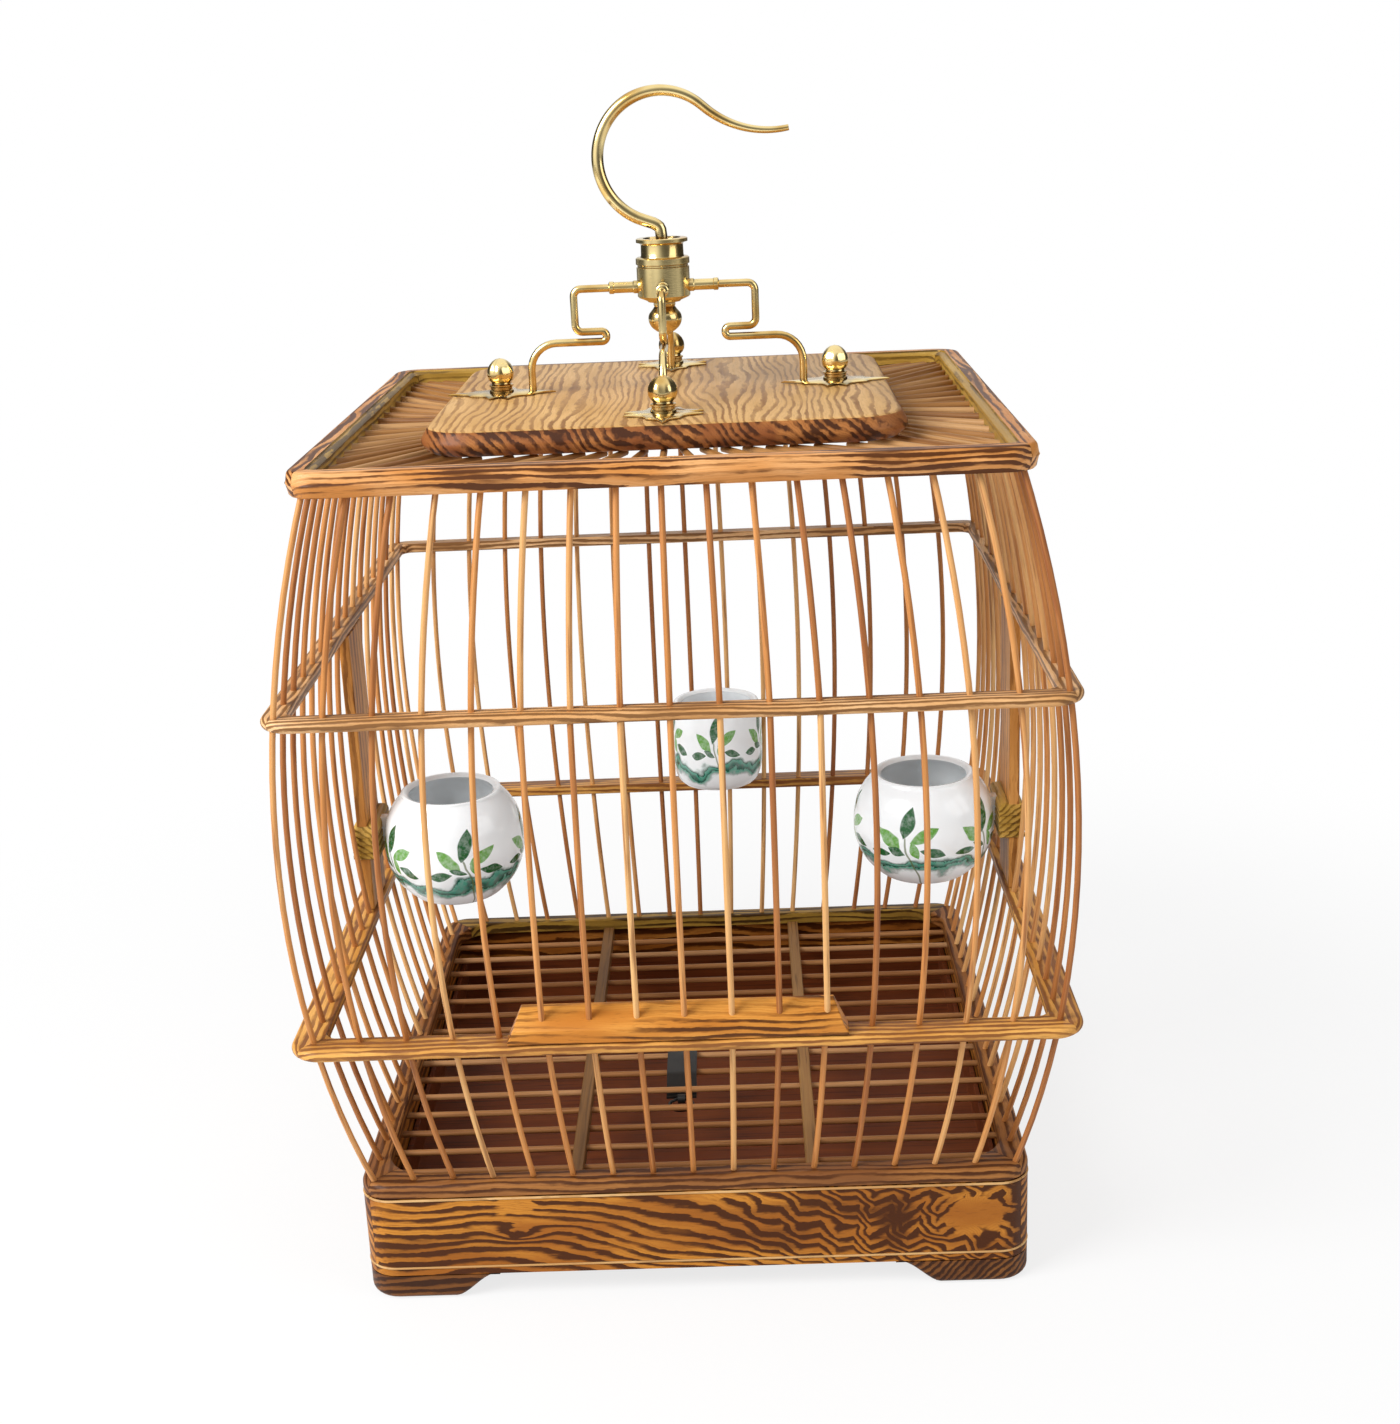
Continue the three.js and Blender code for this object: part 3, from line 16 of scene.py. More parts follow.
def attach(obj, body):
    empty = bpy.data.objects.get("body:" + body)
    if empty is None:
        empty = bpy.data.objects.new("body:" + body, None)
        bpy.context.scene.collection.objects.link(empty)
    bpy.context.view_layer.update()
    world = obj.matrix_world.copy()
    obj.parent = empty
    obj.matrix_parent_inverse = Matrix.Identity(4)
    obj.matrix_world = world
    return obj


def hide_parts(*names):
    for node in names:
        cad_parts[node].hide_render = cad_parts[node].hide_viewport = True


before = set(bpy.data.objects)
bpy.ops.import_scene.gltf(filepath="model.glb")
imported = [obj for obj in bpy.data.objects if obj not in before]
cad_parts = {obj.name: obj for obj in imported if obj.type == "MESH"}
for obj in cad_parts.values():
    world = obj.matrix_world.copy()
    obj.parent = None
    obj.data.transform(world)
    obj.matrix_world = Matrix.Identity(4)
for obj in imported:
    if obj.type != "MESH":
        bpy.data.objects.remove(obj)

LOG = logging.getLogger("birdcage")
MM = 0.001
HALF_PI = math.pi / 2
FULL_TURN = 2 * math.pi
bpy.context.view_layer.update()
GRAIN_SHIFT = (977.0, 613.0, 389.0)
Point = Sequence[float]
Pairs = Sequence[tuple[float, float]]


class Side(IntEnum):
    """The cage's sides, in quarter turns from the front."""

    FRONT = 0
    RIGHT = 1
    BACK = 2
    LEFT = 3

    @property
    def word(self) -> str:
        """The side's name in lower case."""
        return self.name.lower()


class Body(str, Enum):
    """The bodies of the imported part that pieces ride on."""

    CAGE = "cage"
    HOOK = "hook"
    DOOR = "lift_door"
    TRAY = "dirt_tray"
    LEFT_CUP = "left_cup"
    RIGHT_CUP = "right_cup"
    BACK_CUP = "back_cup"
    RING = "ring"


class Slot(str, Enum):
    """The record's material slots."""

    WOOD = "wood"
    DARK = "dark_wood"
    ROOF = "roof_wood"
    BAR = "bar_wood"
    GRILLE = "grille_wood"
    TRAY = "tray_wood"
    BRASS = "brass"
    PORCELAIN = "porcelain"
    STEEL = "steel"


# Shapes


@dataclass
class Shape:
    """A mesh in the making, in millimetres.

    Attributes:
        points: One row for each vertex.
        faces: Vertex numbers of each face.
        grain: Wood coordinates of each vertex: along, across and up.
        tone: Shade of each vertex, from 0 to 1.
        coats: Which of the piece's finishes each face takes.
    """

    points: np.ndarray
    faces: list[tuple[int, ...]]
    grain: np.ndarray
    tone: np.ndarray
    coats: list[int]

    @classmethod
    def of(cls, points: Any, faces: list[tuple[int, ...]], grain: Any = None) -> "Shape":
        """Makes a shape whose grain runs along X unless it is given.

        Args:
            points: Vertex places.
            faces: Vertex numbers of each face.
            grain: Wood coordinates, or None for the places themselves.

        Returns:
            The shape, with an even tone and the first finish.
        """
        places = np.array(points, float).reshape(-1, 3)
        lines = places.copy() if grain is None else np.array(grain, float).reshape(-1, 3)
        return cls(places, faces, lines, np.full(len(places), 0.5), [0] * len(faces))

    def turned(self, side: int) -> "Shape":
        """Returns the shape turned from the front to another side of the cage."""
        angle = side * HALF_PI
        cos, sin = math.cos(angle), math.sin(angle)
        turn = np.array([[cos, sin, 0], [-sin, cos, 0], [0, 0, 1]])
        return replace(self, points=self.points @ turn)

    def moved(self, by: Point) -> "Shape":
        """Returns the shape moved by a distance."""
        return replace(self, points=self.points + np.array(by, float))

    def toned(self, tone: float) -> "Shape":
        """Returns the shape with one tone, its grain shifted so that no two look alike."""
        grain = self.grain + tone * np.array(GRAIN_SHIFT)
        return replace(self, grain=grain, tone=np.full(len(self.points), tone))

    def grained(self, order: tuple[int, int, int]) -> "Shape":
        """Returns the shape with its grain laid along other axes of its places."""
        return replace(self, grain=self.points[:, list(order)])

    def coated(self, chosen: Callable[[np.ndarray], int]) -> "Shape":
        """Returns the shape with a finish chosen for each face.

        Args:
            chosen: Gives the number of the finish for a face's corner places.

        Returns:
            The shape with its faces' finishes set.
        """
        return replace(self, coats=[chosen(self.points[list(face)]) for face in self.faces])



def joined(shapes: Sequence[Shape]) -> Shape:
    """Returns several shapes as one."""
    faces: list[tuple[int, ...]] = []
    coats: list[int] = []
    start = 0
    for shape in shapes:
        faces += [tuple(corner + start for corner in face) for face in shape.faces]
        coats += shape.coats
        start += len(shape.points)
    points, grain, tone = (np.concatenate([getattr(shape, part) for shape in shapes])
                           for part in ("points", "grain", "tone"))
    return Shape(points, faces, grain, tone, coats)


def loft(loops: np.ndarray, grain: np.ndarray | None = None, closed: bool = False) -> Shape:
    """Skins a row of loops that have the same number of points.

    Args:
        loops: Places, one row for each loop.
        grain: Wood coordinates in the same rows, or None for the places.
        closed: Whether the last loop joins the first, instead of caps at both.

    Returns:
        The closed surface.
    """
    count, size = loops.shape[:2]
    faces: list[tuple[int, ...]] = []
    for row in range(count if closed else count - 1):
        here, there = row * size, ((row + 1) % count) * size
        for place in range(size):
            beside = (place + 1) % size
            faces.append((here + place, here + beside, there + beside, there + place))
    if not closed:
        faces.append(tuple(reversed(range(size))))
        faces.append(tuple(range((count - 1) * size, count * size)))
    return Shape.of(loops, faces, grain)


def tube(path: Any, radius: Any, sides: int = 12, flat: float = 1.0,
         up: Point = (0.0, 1.0, 0.0)) -> Shape:
    """Sweeps a round or flattened section along a path.

    Args:
        path: Places along the centre line.
        radius: One radius, or one for each place.
        sides: How many sides the section has.
        flat: Width of the section along the up direction, as a share of the radius.
        up: A direction across the path.

    Returns:
        The capped tube, whose grain runs along it.
    """
    line = np.array(path, float)
    radii = np.broadcast_to(np.array(radius, float), len(line))
    ahead = np.gradient(line, axis=0)
    ahead /= np.linalg.norm(ahead, axis=1)[:, None]
    across = np.array(up, float)
    angles = np.arange(sides) * FULL_TURN / sides
    circle = np.stack([np.cos(angles), np.sin(angles)], axis=1)
    run = np.concatenate([[0.0], np.cumsum(np.linalg.norm(np.diff(line, axis=0), axis=1))])
    loops, grain = [], []
    for place, direction, size, along in zip(line, ahead, radii, run):
        across = across - direction * (across @ direction)
        across /= np.linalg.norm(across)
        third = np.cross(direction, across)
        ring = circle * size
        loops.append(place + ring @ np.array([flat * across, third]))
        grain.append(np.column_stack([np.full(sides, along), ring]))
    return loft(np.array(loops), np.array(grain))


def lathe(profile: Pairs, steps: int = 48,
          flutes: Callable[[float, float], float] | None = None) -> Shape:
    """Turns a profile about the upright axis.

    Args:
        profile: Radius and height of each point; closed, or from axis to axis.
        steps: Segments around.
        flutes: Gives a share of the radius for an angle and a height, or None.

    Returns:
        The turned surface.
    """
    ends_on_axis = profile[0][0] == 0 and profile[-1][0] == 0
    rings = list(profile[1:-1]) if ends_on_axis else list(profile)
    angles = np.arange(steps) * FULL_TURN / steps
    loops = []
    for radius, height in rings:
        reach = radius * np.array([flutes(a, height) if flutes else 1.0 for a in angles])
        loops.append(np.stack([reach * np.cos(angles), reach * np.sin(angles),
                               np.full(steps, height)], axis=1))
    if not ends_on_axis:
        return loft(np.array(loops), closed=True)
    shape = loft(np.array(loops))
    shape.faces = shape.faces[:-2]
    first, last = len(shape.points), len(shape.points) + 1
    poles = np.array([[0, 0, profile[0][1]], [0, 0, profile[-1][1]]], float)
    points = np.concatenate([shape.points, poles])
    top = (len(rings) - 1) * steps
    for place in range(steps):
        beside = (place + 1) % steps
        shape.faces.append((first, beside, place))
        shape.faces.append((last, top + place, top + beside))
    return Shape.of(points, shape.faces)


def smooth_line(points: Any, per: int = 6) -> np.ndarray:
    """Returns a soft line through points, with some places for each span."""
    knots = np.array(points, float)
    padded = np.concatenate([[2 * knots[0] - knots[1]], knots, [2 * knots[-1] - knots[-2]]])
    line = []
    for a, b, c, d in zip(padded, padded[1:], padded[2:], padded[3:]):
        for step in range(per):
            t = step / per
            line.append(0.5 * (2 * b + (c - a) * t + (2 * a - 5 * b + 4 * c - d) * t**2
                               + (3 * b - a - 3 * c + d) * t**3))
    line.append(knots[-1])
    return np.array(line)


def bent_line(corners: Sequence[tuple[float, float, float]], steps: int = 8) -> np.ndarray:
    """Bends a wire in a plane.

    Args:
        corners: Reach, height and bend radius of each corner.
        steps: Segments in each bend.

    Returns:
        Reach and height of each place on the wire.
    """
    line: list[np.ndarray] = []
    for number, (reach, height, bend) in enumerate(corners):
        here = np.array([reach, height])
        if not bend:
            line.append(here)
            continue
        before = np.array(corners[number - 1][:2]) - here
        after = np.array(corners[number + 1][:2]) - here
        before, after = before / np.linalg.norm(before), after / np.linalg.norm(after)
        half = math.acos(float(before @ after)) / 2
        inward = (before + after) / np.linalg.norm(before + after)
        centre = here + inward * bend / math.sin(half)
        start = here + before * bend / math.tan(half) - centre
        hand = float(after[0] * before[1] - after[1] * before[0])
        for angle in np.linspace(0, math.copysign(math.pi - 2 * half, hand), steps + 1):
            cos, sin = math.cos(angle), math.sin(angle)
            line.append(centre + np.array([[cos, -sin], [sin, cos]]) @ start)
    return np.array(line)


def member(profile: Pairs, corner: float, inner: float, steps: int = 6,
           gap: float = 0.12) -> Shape:
    """Makes the front member of a square frame, mitred at both ends and round at its corners.

    Args:
        profile: Reach and height of the section's points.
        corner: Radius of the frame's outer corner.
        inner: Radius of its inner corner.
        steps: Segments in each half corner.
        gap: Half of the joint left open at a mitre.

    Returns:
        The member, with its grain along X.
    """
    reaches = np.array([reach for reach, _ in profile])
    heights = np.array([height for _, height in profile])
    inner_band, least_radius = 1.0, 0.3
    narrow = reaches < reaches.min() + inner_band
    radii = np.where(narrow, inner, corner - (reaches.max() - reaches))
    radii = np.maximum(radii, least_radius)
    centres = reaches - radii
    loops = []
    for hand in (-1, 1):
        turns = np.linspace(HALF_PI / 2, 0, steps + 1)
        for turn in turns if hand < 0 else turns[::-1]:
            x = hand * (centres + radii * math.sin(turn))
            y = -(centres + radii * math.cos(turn))
            if turn == turns[0]:
                x = x - hand * gap
            loops.append(np.stack([x, y, heights], axis=1))
    return loft(np.array(loops))


def rounded_square(half: float, corner: float, steps: int = 8) -> np.ndarray:
    """Returns the places round a square with round corners."""
    line = []
    for quadrant, hands in enumerate(((1, 1), (-1, 1), (-1, -1), (1, -1))):
        centre = np.array(hands) * (half - corner)
        for step in range(steps + 1):
            angle = (quadrant + step / steps) * HALF_PI
            line.append(centre + corner * np.array([math.cos(angle), math.sin(angle)]))
    return np.array(line)


def heading(angle: float) -> np.ndarray:
    """Returns the flat direction at an angle."""
    return np.array([math.cos(angle), math.sin(angle)])


def block(low: Point, high: Point) -> Shape:
    """Returns a squared block between two corners, ready for its edges to be eased."""
    (x0, y0, z0), (x1, y1, z1) = low, high
    outline = np.array([[x0, y0], [x1, y0], [x1, y1], [x0, y1]])
    return loft(np.array([[[x, y, z] for x, y in outline] for z in (z0, z1)]))


def arc(centre: tuple[float, float], radii: tuple[float, float], start: float, end: float,
        steps: int = 6) -> list[tuple[float, float]]:
    """Returns reach and height of places on an elliptic arc, its angles in degrees."""
    angles = np.radians(np.linspace(start, end, steps + 1))
    return [(centre[0] + radii[0] * math.cos(a), centre[1] + radii[1] * math.sin(a))
            for a in angles]


@dataclass(frozen=True)
class Belly:
    """The arc that every bar follows.

    Attributes:
        reach: Distance from the middle at the widest height.
        height: The widest height.
        radius: Radius of the arc.
    """

    reach: float = 163.5
    height: float = 213.0
    radius: float = 576.0

    def at(self, height: float, outset: float = 0.0) -> float:
        """Returns the bars' distance from the middle at a height."""
        radius = self.radius + outset
        return math.sqrt(radius**2 - (height - self.height) ** 2) - (self.radius - self.reach)


BELLY = Belly()
RIM_TOP = 57.5
BOARD_TOP = 51.0
FOOT_TOP = 12.0
LOWER_LEVEL = 131.3
UPPER_LEVEL = 276.5
TOP_LEVEL = 365.5
RAIL_HALF = 2.5
ROOF_TOP = 382.0
BAR_RADIUS = 1.3
BAR_LOW = 53.0
BAR_HIGH = 370.5
BARS_PER_SIDE = 17
DOOR_BARS = 7
BASE_HALF = 148.42
BASE_CORNER = 14.0
BASE_INSIDE = BASE_HALF - 8.0
BEAD_LEVELS = (FOOT_TOP + 3.8, BOARD_TOP - 1.1)


# Finishes


def ink(code: str) -> tuple[float, float, float, float]:
    """Returns a colour written as six hexadecimal digits, as light."""
    parts = [int(code[i : i + 2], 16) / 255 for i in (0, 2, 4)]
    red, green, blue = (p / 12.92 if p <= 0.04045 else ((p + 0.055) / 1.055) ** 2.4 for p in parts)
    return red, green, blue, 1.0


class Value:
    """A number that changes over a surface; sums with it add Math nodes."""

    def __init__(self, recipe: "Recipe", socket: Any) -> None:
        """Wraps a node's output socket of a recipe."""
        self.recipe = recipe
        self.socket = socket

    def maths(self, operation: str, *others: "Value | float", swapped: bool = False) -> "Value":
        """Adds one Math node.

        Args:
            operation: The node's operation.
            others: The other operands.
            swapped: Whether this value comes second.

        Returns:
            The node's result.
        """
        operands = [self, *others]
        if swapped:
            operands.reverse()
        inputs = dict(enumerate(operands))
        node = self.recipe.node("ShaderNodeMath", {"operation": operation}, inputs)
        return Value(self.recipe, node.outputs[0])

    def __add__(self, other: "Value | float") -> "Value":
        """Sum."""
        return self.maths("ADD", other)

    __radd__ = __add__

    def __mul__(self, other: "Value | float") -> "Value":
        """Product."""
        return self.maths("MULTIPLY", other)

    __rmul__ = __mul__

    def __sub__(self, other: "Value | float") -> "Value":
        """Difference."""
        return self.maths("SUBTRACT", other)

    def __rsub__(self, other: float) -> "Value":
        """Difference from a number."""
        return self.maths("SUBTRACT", other, swapped=True)

    def __truediv__(self, other: "Value | float") -> "Value":
        """Quotient."""
        return self.maths("DIVIDE", other)

    def step(self, low: float, high: float, last: float = 1.0, first: float = 0.0) -> "Value":
        """Returns a soft step from its first value at low to its last at high."""
        inputs = {"Value": self, "From Min": low, "From Max": high, "To Min": first, "To Max": last}
        settings = {"interpolation_type": "SMOOTHSTEP"}
        node = self.recipe.node("ShaderNodeMapRange", settings, inputs)
        return Value(self.recipe, node.outputs[0])


class Recipe:
    """The nodes of one finish, or of the sky."""

    def __init__(self, owner: Any, shader: str = "Principled BSDF") -> None:
        """Starts with the material or world that owns the nodes, and its shader's name."""
        owner.use_nodes = True
        self.owner = owner
        self.nodes = owner.node_tree.nodes
        self.links = owner.node_tree.links
        self.shader = self.nodes[shader]

    def node(self, kind: str, settings: dict[str, Any] | None = None,
             inputs: dict[Any, Any] | None = None) -> Any:
        """Adds a node.

        Args:
            kind: Its type.
            settings: Its settings, set first; a ramp's stops under "stops".
            inputs: Values or links of its sockets, by name or number.

        Returns:
            The node.
        """
        made = self.nodes.new(kind)
        for name, setting in (settings or {}).items():
            if name == "stops":
                self.fill_ramp(made, setting)
            else:
                setattr(made, name, setting)
        self.feed(made, inputs or {})
        return made

    @staticmethod
    def fill_ramp(ramp: Any, stops: Sequence[tuple[float, Any]]) -> None:
        """Gives a ramp its stops of place and colour."""
        elements = ramp.color_ramp.elements
        while len(elements) < len(stops):
            elements.new(0.5)
        for element, (place, colour) in zip(elements, stops):
            element.position = place
            element.color = colour

    def feed(self, node: Any, inputs: dict[Any, Any]) -> None:
        """Sets or links a node's sockets, by name or number."""
        for name, value in inputs.items():
            source = value.socket if isinstance(value, Value) else value
            if isinstance(source, bpy.types.NodeSocket):
                self.links.new(source, node.inputs[name])
            else:
                node.inputs[name].default_value = source

    def grain(self, scale: Point = (1.0, 1.0, 1.0)) -> Any:
        """Returns the wood coordinates, in metres times a scale for each axis."""
        held = self.node("ShaderNodeAttribute", {"attribute_name": "grain"})
        return self.vector("MULTIPLY", held.outputs["Vector"], scale)

    def tone(self) -> Value:
        """Returns the piece's own tone."""
        held = self.node("ShaderNodeAttribute", {"attribute_name": "tone"})
        return Value(self, held.outputs["Fac"])

    def coords(self, kind: str = "Object") -> Any:
        """Returns the places on the piece, or the sky's directions."""
        return self.node("ShaderNodeTexCoord").outputs[kind]

    def vector(self, operation: str, first: Any, second: Any = (0.0, 0.0, 0.0)) -> Any:
        """Returns the result of one Vector Math node, a vector or a number."""
        settings = {"operation": operation}
        node = self.node("ShaderNodeVectorMath", settings, {0: first, 1: second})
        return node.outputs["Value" if operation in ("DOT_PRODUCT", "LENGTH") else "Vector"]

    def parts(self, vector: Any) -> tuple[Value, Value, Value]:
        """Returns a vector's three numbers."""
        node = self.node("ShaderNodeSeparateXYZ", None, {0: vector})
        return tuple(Value(self, out) for out in node.outputs)

    def noise(self, vector: Any, scale: float = 1.0, detail: float = 2.0,
              rough: float = 0.5) -> Value:
        """Returns noise about 0.5 over a vector."""
        inputs = {"Vector": vector, "Scale": scale, "Detail": detail, "Roughness": rough}
        return Value(self, self.node("ShaderNodeTexNoise", None, inputs).outputs[0])

    def mix(self, share: Any, first: Any, second: Any) -> Any:
        """Returns two colours mixed by a share."""
        inputs = {0: share, 6: first, 7: second}
        return self.node("ShaderNodeMix", {"data_type": "RGBA"}, inputs).outputs[2]

    def ramp(self, share: Value, stops: Sequence[tuple[float, Any]]) -> Any:
        """Returns the colour of a ramp at a share."""
        return self.node("ShaderNodeValToRGB", {"stops": stops}, {0: share}).outputs[0]

    def bump(self, height: Value, strength: float, depth: float) -> None:
        """Raises the surface by a height, its depth in metres."""
        inputs = {"Height": height, "Strength": strength, "Distance": depth}
        self.feed(self.shader, {"Normal": self.node("ShaderNodeBump", None, inputs).outputs[0]})


# How fine each noise is along, across and up the grain, in waves per metre.
MILLIMETRES = (1000.0, 1000.0, 1000.0)
SLOW_WAVES = (7.0, 22.0, 22.0)
RAGGED_LINES = (55.0, 260.0, 260.0)
BROAD_PATCHES = (13.0, 55.0, 55.0)
FIBRES = (45.0, 1300.0, 1300.0)
PORES = (160.0, 1800.0, 1800.0)
CLOUDS = (16.0, 70.0, 70.0)
ZIGZAG_DRIFT = (24.0, 60.0, 60.0)
BOARD_SWEEP = (9.0, 16.0, 16.0)
FRAYED_EDGES = (70.0, 200.0, 200.0)
CANE_FIBRES = (30.0, 1500.0, 1500.0)
CANE_SHADES = (14.0, 90.0, 90.0)
CANE_STREAKS = (22.0, 560.0, 560.0)
SCRATCHES = (300.0, 300.0, 2400.0)

# Spots on the front board, in millimetres: their middle, their reach and their weight.
KNOT = (-79.0, 31.6)
DARK_SPOTS = [
    (KNOT, (2.6, 1.4), 1.6),
    ((128.0, 26.0), (4.5, 6.5), 1.3),
    ((60.0, 40.0), (50.0, 9.0), 0.35),
    ((88.0, 30.0), (7.0, 16.0), 0.5),
    ((35.0, 24.0), (26.0, 7.0), 0.4),
]
# The plain ones also say where their edge ends.
PLAIN_SPOTS = [
    ((123.0, 34.0), (12.0, 10.0), 0.5, 1.5),
    ((4.0, 49.0), (8.0, 5.0), 0.6, 1.4),
    ((-79.0, 47.0), (9.0, 5.0), 0.6, 1.4),
]

# The leaves of a cup's sprig, pale and deep: their middle, lean and half length.
PALE_LEAVES = [((-9.0, 29.0), 2.4, 7.6), ((7.0, 30.5), 0.5, 7.4), ((3.0, 23.5), 1.9, 5.0)]
DEEP_LEAVES = [((-1.0, 36.0), 1.3, 8.4), ((-13.0, 21.5), 3.2, 5.6), ((11.0, 22.0), -0.3, 6.2),
               ((-5.0, 23.0), 2.7, 4.4)]


@dataclass(frozen=True)
class Finish:
    """What every finish has.

    Attributes:
        name: The finish in a maker's words.
        rough: How matt it is, from 0 to 1.
    """

    name: str
    rough: float

    def build(self) -> bpy.types.Material:
        """Returns the finish as a material."""
        recipe = Recipe(bpy.data.materials.new(self.name))
        self.mix(recipe)
        return recipe.owner

    def mix(self, recipe: Recipe) -> None:
        """Adds the finish's own nodes to a recipe."""
        raise NotImplementedError


@dataclass(frozen=True)
class FiguredWood(Finish):
    """Polished wood with dark flowing figure.

    Attributes:
        pale: The lighter shade of the ground.
        warm: The deeper shade of the ground.
        dark: The figure.
        pitch: Distance between two lines, in millimetres.
        warp: How far slow waves carry the lines, in lines.
        cover: How much of the face is figure, about 0.
        patchy: How much broad patches count in the figure.
        patch: How small the patches are, as a factor.
        lined: How much the lines count in the figure.
        ends: Extra figure at the right end of a length of wood.
    """

    pale: str = "d69848"
    warm: str = "b4702a"
    dark: str = "46220a"
    pitch: float = 6.0
    warp: float = 5.0
    cover: float = 0.0
    patchy: float = 1.6
    patch: float = 1.0
    lined: float = 0.7
    ends: float = 0.0

    def flow(self, recipe: Recipe, along: Value, across: Value, up: Value) -> Value:
        """Returns the distance, in millimetres, whose equal values one line follows."""
        return up + across * 0.8

    def stains(self, recipe: Recipe, along: Value, up: Value) -> Value | None:
        """Returns extra figure for some places, below 0 for less, or None."""
        return None

    def mix(self, recipe: Recipe) -> None:
        """Adds the ground, the figure, the pores and the fibre."""
        along, across, up = recipe.parts(recipe.grain(MILLIMETRES))
        slow = recipe.noise(recipe.grain(SLOW_WAVES))
        ragged = recipe.noise(recipe.grain(RAGGED_LINES), 1.0, 4.0, 0.6)
        broad = recipe.noise(recipe.grain(BROAD_PATCHES), self.patch, 3.0, 0.6)
        fibre = recipe.noise(recipe.grain(FIBRES), 1.0, 2.0, 0.6)
        pores = recipe.noise(recipe.grain(PORES), 1.0, 1.0).step(0.62, 0.74)
        cloud = recipe.noise(recipe.grain(CLOUDS))
        lines = self.flow(recipe, along, across, up) / self.pitch + slow * self.warp + ragged * 0.9
        saw = lines.maths("FRACT")
        line = saw.step(0.25, 0.7) * (1.0 - saw.step(0.9, 1.0))
        thin = (lines * 3.3).maths("FRACT").step(0.45, 0.85)
        figure = line * self.lined + (broad - 0.5) * self.patchy + (ragged - 0.5) * 0.5
        figure = figure + along.step(112.0, 150.0) * self.ends + self.cover
        stains = self.stains(recipe, along, up)
        if stains is not None:
            figure = figure + stains
        pale, warm, dark = ink(self.pale), ink(self.warm), ink(self.dark)
        ground = recipe.mix(cloud.step(0.35, 0.65), warm, pale)
        ground = recipe.mix(thin * 0.35 + fibre * 0.25, ground, warm)
        colour = recipe.mix(figure.step(0.02, 0.42) * 0.55, ground, recipe.mix(0.45, warm, dark))
        colour = recipe.mix(figure.step(0.22, 0.7) * 0.95, colour, dark)
        colour = recipe.mix(pores * 0.3, colour, dark)
        recipe.feed(recipe.shader, {
            "Base Color": colour,
            "Roughness": fibre * 0.16 + (self.rough - 0.08),
            "Specular IOR Level": 0.2,
        })
        recipe.bump(fibre - pores * 0.5, 0.25, 0.0003)


def spot(along: Value, up: Value, place: tuple[float, float], size: tuple[float, float]) -> Value:
    """Returns a soft spot on a face: 1 in its middle and 0 well outside.

    Args:
        along: The face's coordinate along the grain, in millimetres.
        up: The face's height, in millimetres.
        place: The spot's middle.
        size: Its reach along and up.

    Returns:
        The spot.
    """
    wide = ((along - place[0]) / size[0]).maths("POWER", 2.0)
    high = ((up - place[1]) / size[1]).maths("POWER", 2.0)
    return ((wide + high) * -1.0).maths("EXPONENT")


@dataclass(frozen=True)
class ShowWood(FiguredWood):
    """The front board's wood: a knot at the left, zigzag figure to the right."""

    def flow(self, recipe: Recipe, along: Value, across: Value, up: Value) -> Value:
        """Returns lines that lean, part round a knot and turn to zigzags."""
        right = along.step(-5.0, 80.0)
        drift = recipe.noise(recipe.grain(ZIGZAG_DRIFT))
        sweep = recipe.noise(recipe.grain(BOARD_SWEEP), 1.0, 1.0) - 0.5
        zigzag = (along / 8.0 + drift * 2.6).maths("PINGPONG", 1.0)
        lean = along * 0.06 + sweep * 34.0
        lean = lean + right * (zigzag * (drift * 13.0) + along * 0.25 + drift * 14.0)
        return up + lean + spot(along, up, KNOT, (11.0, 4.2)) * 9.0 + across * 0.8

    def stains(self, recipe: Recipe, along: Value, up: Value) -> Value:
        """Returns the dark patches, less the plain ones."""
        fray = recipe.noise(recipe.grain(FRAYED_EDGES), 1.0, 3.0) - 0.5
        along, up = along + fray * 16.0, up + fray * 7.0
        figure = along.step(137.0, 146.0) * 0.8
        for place, size, weight in DARK_SPOTS:
            figure = figure + spot(along, up, place, size) * weight
        for place, size, edge, weight in PLAIN_SPOTS:
            figure = figure - spot(along, up, place, size).step(0.25, edge) * weight
        return figure


@dataclass(frozen=True)
class CaneWood(Finish):
    """Round sticks, each with its own tone.

    Attributes:
        pale: The lightest shade.
        middle: The shade between.
        deep: The deepest shade.
    """

    pale: str = "eabe80"
    middle: str = "c88648"
    deep: str = "864a22"

    def mix(self, recipe: Recipe) -> None:
        """Adds the tone, the streaks and the fibre."""
        stops = [(0.0, ink(self.deep)), (0.5, ink(self.middle)), (1.0, ink(self.pale))]
        fibre = recipe.noise(recipe.grain(CANE_FIBRES))
        slow = recipe.noise(recipe.grain(CANE_SHADES))
        streak = recipe.noise(recipe.grain(CANE_STREAKS)).step(0.54, 0.68)
        colour = recipe.ramp(recipe.tone() * 0.65 + fibre * 0.45 + slow * 0.5 - 0.29, stops)
        recipe.feed(recipe.shader, {
            "Base Color": recipe.mix(streak * 0.65, colour, ink(self.deep)),
            "Roughness": fibre * 0.2 + (self.rough - 0.1),
            "Specular IOR Level": 0.3,
        })
        recipe.bump(fibre, 0.25, 0.0002)


